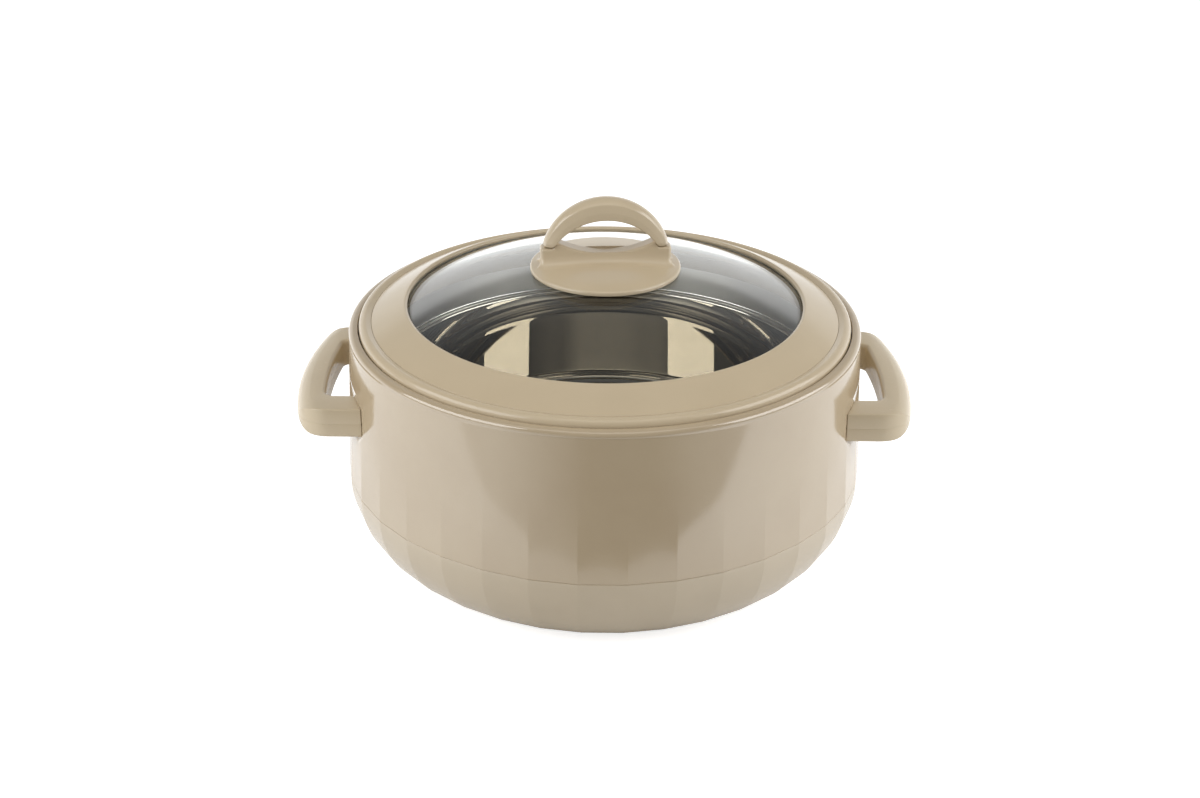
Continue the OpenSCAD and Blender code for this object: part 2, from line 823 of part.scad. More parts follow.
// Profile of the web seen from the front: its horns rise inside the arch
module web_front() {
    difference() {
        union() {
            translate([-web_reach, glass_bottom])
                square([2 * web_reach, arch_foot_height - glass_bottom]);
            intersection() {
                translate([-web_reach, arch_foot_height - overcut])
                    square([2 * web_reach, arch_foot]);
                translate([0, arch_inner_axis])
                    circle(r = arch_inner_radius - part_gap, $fn = fine_sides);
            }
        }
        translate([0, saddle_top + saddle_curve])
            circle(r = saddle_curve, $fn = fine_sides);
    }
}

// Profile of the web and its fillets seen from the side
module web_side() {
    half = web_thickness / 2;
    fillet_height = knob_edge_top + knob_dome / 2 + web_fillet;
    difference() {
        translate([-half - web_fillet, glass_bottom])
            square([web_thickness + 2 * web_fillet, arch_top - glass_bottom]);
        for (side = [-1, 1])
            translate([side * (half + web_fillet), fillet_height])
                circle(r = web_fillet);
        for (side = [-1, 1])
            translate([side * (half + web_fillet) - web_fillet, fillet_height])
                square([2 * web_fillet, arch_top]);
    }
}

module knob_base() {
    dome_reach = knob_radius - knob_edge / 2;
    dome_radius = (pow(dome_reach, 2) + pow(knob_dome, 2)) / (2 * knob_dome);
    dome_axis = knob_edge_top + knob_dome - dome_radius;
    dome_angle = acos(dome_reach / dome_radius);
    color(plastic) rotate(knob_turn) difference() {
        union() {
            rotate_extrude()
                polygon(concat(
                    [[0, glass_bottom], [knob_radius, glass_bottom]],
                    arc(dome_reach, knob_edge_top - knob_edge / 2, knob_edge / 2, 0, quarter),
                    arc(0, dome_axis, dome_radius, dome_angle, quarter)));
            intersection() {
                rotate([90, 0, 0])
                    linear_extrude(2 * knob_radius, center = true)
                        web_front();
                rotate([90, 0, 90])
                    linear_extrude(2 * knob_radius, center = true)
                        web_side();
            }
            translate([0, 0, knob_boss_bottom])
                cylinder(r = knob_boss_radius, h = knob_edge_top - knob_boss_bottom);
        }
        difference() {
            translate([0, 0, glass_centre])
                sphere(r = knob_under_sphere, $fn = fine_sides);
            translate([0, 0, knob_boss_bottom])
                cylinder(r = knob_boss_radius, h = knob_edge_top);
        }
        translate([0, 0, knob_boss_bottom - overcut])
            cylinder(r = knob_screw_radius + part_gap, h = knob_hole_top - knob_boss_bottom + overcut);
        for (side = [-1, 1])
            translate([side * arch_screw_offset, 0, arch_head_bottom - 2 * overcut]) {
                cylinder(r = arch_screw_radius + part_gap, h = arch_screw_tip);
                cylinder(r = arch_head_radius + part_gap,
                         h = arch_head_top - arch_head_bottom + 2 * overcut);
            }
    }
}

module knob_arch() {
    half = arch_width / 2;
    foot_cut = (arch_width - arch_foot_width) / 2;
    side_curve = (pow(arch_radius, 2) + pow(foot_cut, 2)) / (2 * foot_cut);
    color(plastic) rotate(knob_turn) difference() {
        intersection() {
            translate([0, 0, arch_axis])
                rotate([90, 0, 0])
                    rotate_extrude()
                        union() {
                            translate([arch_radius - arch_crown, 0])
                                circle(r = arch_crown);
                            translate([0, -arch_crown])
                                square([arch_radius - arch_crown, 2 * arch_crown]);
                        }
            translate([0, 0, arch_foot_height])
                linear_extrude(2 * arch_radius)
                    intersection() {
                        translate([0, half - side_curve])
                            circle(r = side_curve, $fn = fine_sides);
                        translate([0, side_curve - half])
                            circle(r = side_curve, $fn = fine_sides);
                    }
        }
        translate([0, 0, arch_inner_axis])
            rotate([90, 0, 0])
                cylinder(r = arch_inner_radius, h = 2 * arch_width, center = true);
        for (side = [-1, 1])
            translate([side * arch_screw_offset, 0, arch_foot_height - overcut])
                cylinder(r = arch_screw_radius + part_gap, h = arch_screw_grip + tip_room + overcut);
    }
}

module knob_arch_screws() {
    color(steel) rotate(knob_turn)
        for (side = [-1, 1])
            translate([side * arch_screw_offset, 0, arch_head_top])
                screw(arch_screw_radius, arch_screw_tip - arch_head_top,
                      arch_head_radius, arch_head_top - arch_head_bottom);
}

module knob_gasket() {
    color(silicone) rotate_extrude()
        intersection() {
            translate([0, glass_centre])
                difference() {
                    circle(r = knob_under_sphere - part_gap, $fn = fine_sides);
                    circle(r = glass_sphere + part_gap, $fn = fine_sides);
                }
            translate([2 * knob_boss_radius, glass_centre])
                square([2 * knob_boss_radius, 2 * glass_sphere]);
        }
}

module knob_screw() {
    color(steel)
        translate([0, 0, washer_bottom])
            screw(knob_screw_radius, knob_hole_top - tip_room - washer_bottom,
                  knob_head_radius, knob_head_height);
}

module knob_washer() {
    color(steel) ring(
        knob_screw_radius + part_gap, seal_washer_radius - seal_margin, washer_bottom, seal_washer_bottom);
}

module knob_seal_washer() {
    color(silicone) ring(
        knob_screw_radius + part_gap, seal_washer_radius, seal_washer_bottom, seal_washer_top);
}

outer_shell();
base_cover();
fill_plug();
inner_bowl();
insulation();
rim_gasket();
left_handle_grip();
left_handle_cover();
left_handle_screws();
left_cover_screws();
right_handle_grip();
right_handle_cover();
right_handle_screws();
right_cover_screws();
lid_ring();
lid_under_ring();
lid_glass();
glass_gasket();
lid_seal();
knob_base();
knob_arch();
knob_arch_screws();
knob_gasket();
knob_screw();
knob_washer();
knob_seal_washer();
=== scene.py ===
"""Casserole dish with a lift-off glass lid: its visible pieces, their finishes, the studio and the camera."""
import math

import bmesh
import bpy
import numpy as np
from mathutils import Matrix


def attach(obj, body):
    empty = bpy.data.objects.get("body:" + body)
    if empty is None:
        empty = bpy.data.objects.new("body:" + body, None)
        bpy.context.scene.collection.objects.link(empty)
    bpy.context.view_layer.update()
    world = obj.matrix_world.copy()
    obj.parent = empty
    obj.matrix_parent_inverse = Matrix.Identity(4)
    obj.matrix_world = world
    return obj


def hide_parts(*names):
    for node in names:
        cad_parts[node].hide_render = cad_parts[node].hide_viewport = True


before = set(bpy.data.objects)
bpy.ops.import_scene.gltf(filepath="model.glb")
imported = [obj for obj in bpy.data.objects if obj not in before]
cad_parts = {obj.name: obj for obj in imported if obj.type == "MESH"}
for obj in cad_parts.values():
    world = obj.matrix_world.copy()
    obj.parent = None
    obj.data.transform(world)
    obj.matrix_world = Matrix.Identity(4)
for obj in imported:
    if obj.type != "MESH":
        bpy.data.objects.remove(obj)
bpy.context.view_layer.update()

MM = 0.001

# Meshes: steps around the axis, merging distances in metres, and the angle in degrees of a sharp edge
ROUND_COLUMNS = 288
GLASS_COLUMNS = 216
DISC_COLUMNS = 180
MERGE_REACH = 2e-6
MERGE_EDGE = 1e-7
SHARP_EDGE = 35.0

# Body: heights and radii in millimetres, as in the CAD
RIM_HEIGHT = 124.0
RIM_RADIUS = 131.0
RIM_ROUND = 2.5
RIM_LIP = 0.15
RIM_EDGE = RIM_HEIGHT - RIM_ROUND
BELLY_RADIUS = 135.0
SEAM_HEIGHT = 46.0
SEAM_GAP = 0.05
SEAM_ROUND = 0.25
FOOT_RADIUS = 95.0
SHELL_WALL = 2.6
SEAT_RADIUS = 126.5
SEAT_FLOOR = 116.5
LEDGE_RADIUS = 118.0
LEDGE_WALL = 2.4
EDGE_ROUND = 0.3
FINE_ROUND = 0.2
WALL_STEP = 1.3
SKIN_DEPTH = 1.3
SKIN_BLEND = 0.6

# Flat panels around the lower body, one of them facing the front
PANEL_COUNT = 36
PANEL_FLAT = 0.96
PANEL_FULL = 50.0
PANEL_FADE = 88.0
PANEL_STEPS = (-5.0, -4.8, -4.5, -3.5, -2.0, 0.0, 2.0, 3.5, 4.5, 4.8)

# Base: spigot, fill hole and recess for the plug
SPIGOT_TOP = 53.0
SPIGOT_RADIUS = 131.93
SPIGOT_INNER = 129.73
SPIGOT_FOOT = 38.0
FILL_RADIUS = 8.0
RECESS_RADIUS = 11.0
RECESS_DEPTH = 1.2

# Steel bowl
SHEET = 0.8
BOWL_FLOOR = 28.0
BOWL_FOOT = 108.5
BOWL_CORNER = 16.0
STEP_HEIGHT = 94.0
STEP_INNER = 110.1
STEP_OUTER = 114.1
COLLAR_RADIUS = 117.1
FLANGE_RADIUS = 126.4
FLANGE_TOP = 118.3
STEP_INNER_ROUND = 1.6
STEP_OUTER_ROUND = 1.2
COLLAR_ROUND = 1.0

# Handles, drawn for the right side
HANDLE_HALF = 51.3
HANDLE_REACH = 158.6
HANDLE_OUTER = 193.0
HANDLE_CORNER = 17.0
HANDLE_BAR = 15.7
HANDLE_INNER = 276.0
FINGER_HALF = 34.0
FINGER_CORNER = 5.0
HANDLE_TOP = 94.5
HANDLE_SPLIT = 86.2
HANDLE_BOTTOM = 79.0
LEG_ROUND = 1.1
BAR_ROLL = (9.0, 7.6)
COVER_ROUND = 1.2
COVER_ROLL = (8.0, 6.4)
FINGER_ROUND = 2.2
SPLIT_ROUND = 0.12
ROOT_ROUND = 0.4
ROOT_GAP = 0.1
LEG_MIDDLE = 42.65
LEG_HALF = 8.75
LEG_TURN = (10.0, 29.1)
LEG_TURN_STEP = 0.5
SEAT_DEEP = 131.2
SEAT_SLOPE = 7.0
SEAT_SLOPE_BELOW = 2.0
SEAT_COSINE = 0.7
LOOP_STEPS = 12
SECTION_WIDTH = 15.0
SECTION_TOP_END = 7.4
SECTION_TOP_POINTS = 8
LEG_ROWS = 12
ROOT_INSET = 0.07

# Lid
LID_RADIUS = 126.0
BEAD_INNER = 119.6
BEAD_TOP = 127.4
BEAD_CROWN = 3.2
BEAD_TURN = 115.0
BEAD_JOIN = 0.25
RING_OUTER = 119.5
RING_FOOT = 126.6
RING_JOIN = 0.22
RING_DROP = 2.45
RING_POST = 117.3
RING_POST_RISE = 1.1
SLOPE_CROWN = 0.25
LIP_RADIUS = 102.5
LIP_TOP = 134.9
LIP_STEP = 0.2
LIP_ROUND = 0.9
WINDOW_RADIUS = 101.0
WINDOW_ROUND = 0.6
NOSE_BOTTOM = 132.7
NOSE_STEP = 0.75
NOSE_ROUND = 0.25
PLATE_BOTTOM = 119.4
PLATE_TOP = 121.6
SKIRT_INNER = 110.9
SKIRT_OUTER = 113.1
SKIRT_BOTTOM = 111.4
SKIRT_ROUND = 0.8
POST_INNER = 107.3
POST_OUTER = 109.5
POST_TOP = 128.5
POST_ROUND = 0.4
GLASS_SEAT = (126.06, 123.84)
GLASS_SEAT_UNDER = (123.64, 121.4)
SEAL_INNER = 118.6
SEAL_OUTER = 125.0
SEAL_DEPTH = 0.8

# Glass
GLASS_SPHERE = 255.0
GLASS_CENTRE = -101.74
GLASS_THICK = 4.0
GLASS_EDGE = 105.0
GLASS_HOLE = 5.8
GLASS_ROUND = 0.9

# Knob
KNOB_TURN = 4.0
KNOB_RADIUS = 38.3
KNOB_EDGE = 2.5
KNOB_EDGE_TOP = 153.47
KNOB_EDGE_TURN = 85.0
KNOB_EDGE_ROUND = 0.4
KNOB_DOME = 2.4
KNOB_UNDER = 255.6
KNOB_BOSS = 5.6
KNOB_BOSS_BOTTOM = 150.06
WEB_REACH = 33.2
WEB_HALF = 4.5
WEB_CORNER = 2.0
WEB_FILLET = 5.0
WEB_FLARE = 0.4
WEB_SINK = 0.05
WEB_ROUND = 1.2
WEB_STEP = 0.8
SADDLE_TOP = 160.26
SADDLE_CURVE = 52.0
ARCH_FOOT = 163.26
ARCH_AXIS = 156.05
ARCH_RADIUS = 33.0
ARCH_INNER_AXIS = 147.76
ARCH_INNER_RADIUS = 31.0
ARCH_HALF = 7.5
ARCH_FOOT_HALF = 5.3
ARCH_TOP_HALF = 5.8
ARCH_BULGE_HALF = 6.95
ARCH_EDGE = 1.6
ARCH_SIDE_ROUND = 5.0
ARCH_UNDER_ROUND = 0.8
ARCH_CROWN = 8.5
ARCH_THICK = 10.3
ARCH_NOSE = 3.2
ARCH_TIP = 0.35


def wall_radius(z):
    """Outer radius of the straight wall at a height: a line from the seam to the rim's edge."""
    return BELLY_RADIUS + (RIM_RADIUS - BELLY_RADIUS) * (z - SEAM_HEIGHT) / (RIM_EDGE - SEAM_HEIGHT)


def smooth(t):
    """Smooth step: 3 t^2 - 2 t^3 with t held between 0 and 1."""
    t = np.clip(t, 0.0, 1.0)
    return t * t * (3.0 - 2.0 * t)


def rounded(corners, steps=7):
    """Closed profile through corners (r, z, rounding): each corner is traded for the arc of that radius
    which touches both of its edges."""
    corners = np.asarray(corners, float)
    point = corners[:, 0] + 1j * corners[:, 1]
    radius = corners[:, 2]
    back = np.roll(point, 1) - point
    ahead = np.roll(point, -1) - point
    back, ahead = back / abs(back), ahead / abs(ahead)
    half = np.arccos(np.clip((back * ahead.conj()).real, -1.0, 1.0)) / 2.0
    middle = back + ahead
    middle = middle / np.maximum(abs(middle), 1e-9)
    centre = point + middle * radius / np.sin(half)
    start = point + back * radius / np.tan(half) - centre
    end = point + ahead * radius / np.tan(half) - centre
    turn = np.angle(end * start.conj())
    share = np.linspace(0.0, 1.0, steps + 1)
    arcs = centre[:, None] + start[:, None] * np.exp(1j * turn[:, None] * share)
    arcs = np.where(radius[:, None] > 0.0, arcs, point[:, None])
    return np.stack([arcs.real.ravel(), arcs.imag.ravel()], axis=-1)


def refined(profile, longest):
    """Closed profile with its long edges cut into equal lengths no longer than a limit."""
    ahead = np.roll(profile, -1, axis=0) - profile
    count = np.maximum(np.ceil(np.linalg.norm(ahead, axis=1) / longest).astype(int), 1)
    first = np.repeat(np.cumsum(count) - count, count)
    share = (np.arange(count.sum()) - first) / np.repeat(count, count)
    return np.repeat(profile, count, axis=0) + np.repeat(ahead, count, axis=0) * share[:, None]


def arc(x, y, radius, start, end, steps):
    """Points of a circle's arc between two angles in degrees."""
    angle = np.radians(np.linspace(start, end, steps + 1))
    return np.stack([x + radius * np.cos(angle), y + radius * np.sin(angle)], axis=-1)


def turned(profile, angles):
    """Grid of a profile turned about the axis: (r cos a, r sin a, z) for each point (r, z) and angle a.
    The radius may be a grid of its own."""
    r, z = profile
    r = np.broadcast_to(r, (len(z), len(angles)))
    return np.stack(
        [r * np.cos(angles), r * np.sin(angles), np.broadcast_to(z[:, None], r.shape)], axis=-1)


def lathe(profile, columns):
    """Grid of a profile turned about the axis in equal steps."""
    angles = np.arange(columns) * 2.0 * math.pi / columns
    return turned((profile[:, :1], profile[:, 1]), angles)


def added(name, data):
    """New object in the scene, at the origin."""
    made = bpy.data.objects.new(name, data)
    bpy.context.scene.collection.objects.link(made)
    return made


def piece(name, shells, body, node, finish):
    """Object from grids of points in millimetres. Each grid is (points, rows closed): its columns are always
    closed, points that coincide are merged, so a row drawn to one point closes a pole, and faces turn
    outwards."""
    points, quads, first = [], [], 0
    for grid, closed in shells:
        rows, columns = grid.shape[:2]
        index = first + np.arange(rows * columns).reshape(rows, columns)
        index = np.hstack([index, index[:, :1]])
        if closed:
            index = np.vstack([index, index[:1]])
        quads.append(np.stack(
            [index[:-1, :-1], index[1:, :-1], index[1:, 1:], index[:-1, 1:]], axis=-1).reshape(-1, 4))
        points.append(grid.reshape(-1, 3))
        first += rows * columns
    mesh = bpy.data.meshes.new(name)
    mesh.from_pydata((np.concatenate(points) * MM).tolist(), [], np.concatenate(quads).tolist())
    form = bmesh.new()
    form.from_mesh(mesh)
    bmesh.ops.remove_doubles(form, verts=form.verts, dist=MERGE_REACH)
    bmesh.ops.dissolve_degenerate(form, edges=form.edges, dist=MERGE_EDGE)
    bmesh.ops.recalc_face_normals(form, faces=form.faces)
    form.to_mesh(mesh)
    form.free()
    mesh.shade_smooth()
    mesh.set_sharp_from_angle(angle=math.radians(SHARP_EDGE))
    made = added(name, mesh)
    made.data.materials.append(finish)
    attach(made, body)
    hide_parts(node)


def panel_angles():
    """Angles of the columns around a panelled wall: each panel's own steps about its middle, which lies on a
    whole multiple of the panel's turn."""
    middles = np.arange(PANEL_COUNT) * 360.0 / PANEL_COUNT
    return np.radians((middles[:, None] + np.array(PANEL_STEPS)).ravel())


def panel_dip(angles):
    """How far a flat panel lies inside the round wall, as a share of the radius: 1 - cos(half turn) / cos(angle
    from the panel's middle)."""
    half = math.pi / PANEL_COUNT
    offset = (angles + half) % (2.0 * half) - half
    return 1.0 - math.cos(half) / np.cos(offset)


def leg_angles():
    """Angles of the panelled wall's columns, with closer ones around the four legs."""
    legs = np.radians(np.arange(*LEG_TURN, LEG_TURN_STEP))
    return np.unique(np.round(np.concatenate([
        panel_angles() % (2.0 * math.pi), legs, math.pi - legs, math.pi + legs, 2.0 * math.pi - legs]), 6))


def seat_share(angles, z, radius):
    """How far the wall keeps its own radius around the legs: 0 on the seats, 1 beyond the slopes around them,
    and along the slopes the larger of the shares across, upwards and downwards, where the slope runs up
    aslant."""
    away = abs(abs(radius * np.sin(angles)) - LEG_MIDDLE) - LEG_HALF
    up = (z - HANDLE_TOP) / SEAT_SLOPE
    down = (HANDLE_BOTTOM + np.maximum(away, 0.0) - z) / SEAT_SLOPE_BELOW
    return np.clip(np.maximum(np.maximum(away / SEAT_SLOPE, up), down), 0.0, 1.0)


def shell_grid():
    """Upper shell: the profile of wall, rim, lid seat and ledge is turned about the axis; on its outside the
    radius drops by the panels' dip, which fades out upwards, and to the seats of the handles' legs."""
    ledge = SEAT_FLOOR - LEDGE_WALL
    foot = SEAM_HEIGHT + SEAM_GAP
    profile = refined(rounded([
        (wall_radius(foot), foot, SEAM_ROUND),
        (RIM_RADIUS, RIM_EDGE - 2.0 * RIM_LIP, 0.0),
        (RIM_RADIUS + RIM_LIP, RIM_EDGE, 0.0),
        (RIM_RADIUS + RIM_LIP, RIM_HEIGHT, RIM_ROUND),
        (SEAT_RADIUS, RIM_HEIGHT, 2.0 * EDGE_ROUND),
        (SEAT_RADIUS, SEAT_FLOOR, EDGE_ROUND),
        (LEDGE_RADIUS, SEAT_FLOOR, EDGE_ROUND),
        (LEDGE_RADIUS, ledge, EDGE_ROUND),
        (wall_radius(ledge) - SHELL_WALL, ledge, EDGE_ROUND),
        (wall_radius(foot) - SHELL_WALL, foot, EDGE_ROUND)]), WALL_STEP)
    angles = leg_angles()
    r, z = profile[:, :1], profile[:, 1:]
    outside = smooth((r - wall_radius(z) + SKIN_DEPTH) / SKIN_BLEND)
    flatness = PANEL_FLAT * smooth((PANEL_FADE - z) / (PANEL_FADE - PANEL_FULL))
    r = r * (1.0 - outside * flatness * panel_dip(angles))
    beside = (abs(np.cos(angles)) > SEAT_COSINE) & (z < RIM_EDGE - SEAT_SLOPE)
    r = np.where(beside & (outside > 0.5), SEAT_DEEP + (r - SEAT_DEEP) * seat_share(angles, z, r), r)
    return turned((r, profile[:, 1]), angles)


def base_grid():
    """Base: a quarter ellipse from the foot to the seam, the spigot inside the shell, the ellipse's inside, the
    floor and the fill hole, turned about the axis; outside, the radius drops by the panels' dip."""
    turn = np.radians(np.linspace(90.0, 0.0, 41))
    rise = BELLY_RADIUS - FOOT_RADIUS
    outer = np.stack(
        [FOOT_RADIUS + rise * np.cos(turn), SEAM_HEIGHT * (1.0 - np.sin(turn)), 0.0 * turn], -1)
    outer[-1, 2] = SEAM_ROUND
    high = SEAM_HEIGHT - SHELL_WALL
    begin = math.degrees(math.asin((SEAM_HEIGHT - SPIGOT_FOOT) / high))
    turn = np.radians(np.linspace(begin, 90.0, 15))
    inner = np.stack(
        [FOOT_RADIUS + (rise - SHELL_WALL) * np.cos(turn), SEAM_HEIGHT - high * np.sin(turn), 0.0 * turn], -1)
    corners = np.concatenate([
        outer,
        [(SPIGOT_RADIUS, SEAM_HEIGHT, EDGE_ROUND), (SPIGOT_RADIUS, SPIGOT_TOP, EDGE_ROUND),
         (SPIGOT_INNER, SPIGOT_TOP, EDGE_ROUND), (SPIGOT_INNER, SPIGOT_FOOT, 0.0)],
        inner,
        [(FILL_RADIUS, SHELL_WALL, EDGE_ROUND), (FILL_RADIUS, RECESS_DEPTH, EDGE_ROUND),
         (RECESS_RADIUS, RECESS_DEPTH, EDGE_ROUND), (RECESS_RADIUS, 0.0, EDGE_ROUND)]])
    profile = rounded(corners, steps=4)
    angles = panel_angles()
    r, z = profile[:, :1], profile[:, 1:]
    edge = FOOT_RADIUS + rise * np.sqrt(np.clip(1.0 - (1.0 - z / SEAM_HEIGHT) ** 2, 0.0, 1.0))
    outside = smooth((r - edge + SKIN_DEPTH) / SKIN_BLEND) * (z <= SEAM_HEIGHT)
    return turned((r * (1.0 - outside * PANEL_FLAT * panel_dip(angles)), profile[:, 1]), angles)


def bowl_grid():
    """Steel bowl: floor, corner, tapered wall, step, collar and flange, and the same line a sheet's thickness
    further out on the way back, turned about the axis."""
    under = FLANGE_TOP - SHEET
    profile = rounded([
        (0.0, BOWL_FLOOR, 0.0), (BOWL_FOOT, BOWL_FLOOR, BOWL_CORNER),
        (STEP_INNER, STEP_HEIGHT, STEP_INNER_ROUND), (STEP_OUTER, STEP_HEIGHT, STEP_OUTER_ROUND),
        (COLLAR_RADIUS, FLANGE_TOP, COLLAR_ROUND), (FLANGE_RADIUS, FLANGE_TOP, SHEET / 3.0),
        (FLANGE_RADIUS, under, SHEET / 3.0), (COLLAR_RADIUS + SHEET, under, COLLAR_ROUND - SHEET),
        (STEP_OUTER + SHEET, STEP_HEIGHT - SHEET, STEP_OUTER_ROUND + SHEET),
        (STEP_INNER + SHEET, STEP_HEIGHT - SHEET, STEP_INNER_ROUND - SHEET),
        (BOWL_FOOT + SHEET, BOWL_FLOOR - SHEET, BOWL_CORNER + SHEET),
        (0.0, BOWL_FLOOR - SHEET, 0.0)], steps=12)
    return lathe(profile, ROUND_COLUMNS)


def sphere_height(radius, x):
    """Height of a sphere about the glass's centre at a distance from the axis."""
    return GLASS_CENTRE + np.sqrt(radius * radius - x * x)


def glass_grid():
    """Glass: the arcs of two spheres about one centre, joined by a rounded edge and a rounded hole, turned
    about the axis."""
    inner = GLASS_SPHERE - GLASS_THICK
    reach = np.linspace(GLASS_HOLE, GLASS_EDGE, 41)
    over = np.stack([reach, sphere_height(GLASS_SPHERE, reach), 0.0 * reach], -1)
    under = np.stack([reach, sphere_height(inner, reach), 0.0 * reach], -1)[::-1]
    over[[0, -1], 2] = under[[0, -1], 2] = GLASS_ROUND
    return lathe(rounded(np.concatenate([over, under]), steps=5), GLASS_COLUMNS)


def ring_grid():
    """Sloping ring of the lid: a gently crowned slope from its foot to a rounded lip, a nose over the edge of
    the glass, and the wall's underside, turned about the axis."""
    foot, lip = np.array([RING_OUTER, RING_FOOT]), np.array([LIP_RADIUS, LIP_TOP])
    share = np.linspace(0.0, 1.0, 15)[1:-1]
    slope = foot + (lip - foot) * share[:, None]
    slope[:, 1] += SLOPE_CROWN * np.sin(math.pi * share)
    slope = np.column_stack([slope, 0.0 * share])
    corners = np.concatenate([
        [(RING_OUTER, RING_FOOT, RING_JOIN)], slope,
        [(LIP_RADIUS - LIP_STEP, LIP_TOP, LIP_ROUND), (WINDOW_RADIUS, LIP_TOP - NOSE_STEP, WINDOW_ROUND),
         (WINDOW_RADIUS, NOSE_BOTTOM, NOSE_ROUND), (WINDOW_RADIUS + NOSE_STEP, NOSE_BOTTOM, 0.0),
         (LIP_RADIUS, LIP_TOP - RING_DROP, 0.0), (RING_POST, RING_FOOT + RING_POST_RISE - RING_DROP, 0.0),
         (RING_POST, PLATE_TOP + ROOT_GAP, 0.0), (RING_OUTER, PLATE_TOP + ROOT_GAP, 0.0)]])
    return lathe(rounded(corners, steps=6), ROUND_COLUMNS)


def under_ring_grid():
    """Under ring of the lid: the round bead at its edge, the plate, the post around the glass and its seat, the
    centring skirt and the groove for the seal, turned about the axis."""
    crown = arc(LID_RADIUS - BEAD_CROWN, BEAD_TOP - BEAD_CROWN, BEAD_CROWN, 0.0, BEAD_TURN, 18)
    crown = np.column_stack([crown, np.zeros(len(crown))])
    corners = np.concatenate([
        [(LID_RADIUS, PLATE_BOTTOM, POST_ROUND)], crown,
        [(BEAD_INNER, RING_FOOT, BEAD_JOIN), (BEAD_INNER, PLATE_TOP, FINE_ROUND),
         (POST_OUTER, PLATE_TOP, FINE_ROUND), (POST_OUTER, POST_TOP, POST_ROUND),
         (POST_INNER, POST_TOP, POST_ROUND), (POST_INNER, GLASS_SEAT[1], 0.0),
         (LIP_RADIUS, GLASS_SEAT[0], EDGE_ROUND), (LIP_RADIUS, GLASS_SEAT_UNDER[0], EDGE_ROUND),
         (POST_INNER, GLASS_SEAT_UNDER[1], 0.0), (POST_INNER, PLATE_BOTTOM, EDGE_ROUND),
         (SKIRT_INNER, PLATE_BOTTOM, EDGE_ROUND), (SKIRT_INNER, SKIRT_BOTTOM, SKIRT_ROUND),
         (SKIRT_OUTER, SKIRT_BOTTOM, SKIRT_ROUND), (SKIRT_OUTER, PLATE_BOTTOM, EDGE_ROUND),
         (SEAL_INNER, PLATE_BOTTOM, FINE_ROUND), (SEAL_INNER, PLATE_BOTTOM + SEAL_DEPTH, 0.0),
         (SEAL_OUTER, PLATE_BOTTOM + SEAL_DEPTH, 0.0), (SEAL_OUTER, PLATE_BOTTOM, FINE_ROUND)]])
    return lathe(rounded(corners, steps=5), ROUND_COLUMNS)


def dome_height(x, y):
    """Height of the knob's domed disc: a sphere through its edge and its crown."""
    reach = KNOB_RADIUS - KNOB_EDGE / 2.0
    radius = (reach ** 2 + KNOB_DOME ** 2) / (2.0 * KNOB_DOME)
    return KNOB_EDGE_TOP + KNOB_DOME - radius + np.sqrt(radius ** 2 - x * x - y * y)


def swivelled(grid):
    """Grid turned about the upright axis with the knob."""
    turn = math.radians(KNOB_TURN)
    return grid @ np.array([
        [math.cos(turn), math.sin(turn), 0.0], [-math.sin(turn), math.cos(turn), 0.0], [0.0, 0.0, 1.0]])


def disc_grid():
    """Knob's disc: the dome, a rounded edge, and an underside that follows the glass, turned about the axis."""
    bend = KNOB_EDGE / 2.0
    reach = np.linspace(0.0, KNOB_RADIUS - bend, 25)
    dome = np.stack([reach, dome_height(reach, 0.0), 0.0 * reach], -1)
    edge = arc(KNOB_RADIUS - bend, KNOB_EDGE_TOP - bend, bend, KNOB_EDGE_TURN, 0.0, 8)
    reach = np.linspace(KNOB_RADIUS, KNOB_BOSS, 17)
    under = np.stack([reach, sphere_height(KNOB_UNDER, reach), 0.0 * reach], -1)
    under[0, 2] = KNOB_EDGE_ROUND
    corners = np.concatenate([
        dome, np.column_stack([edge, np.zeros(len(edge))]), under,
        [(KNOB_BOSS, KNOB_BOSS_BOTTOM, EDGE_ROUND), (0.0, KNOB_BOSS_BOTTOM, 0.0)]])
    return lathe(rounded(corners, steps=4), DISC_COLUMNS)


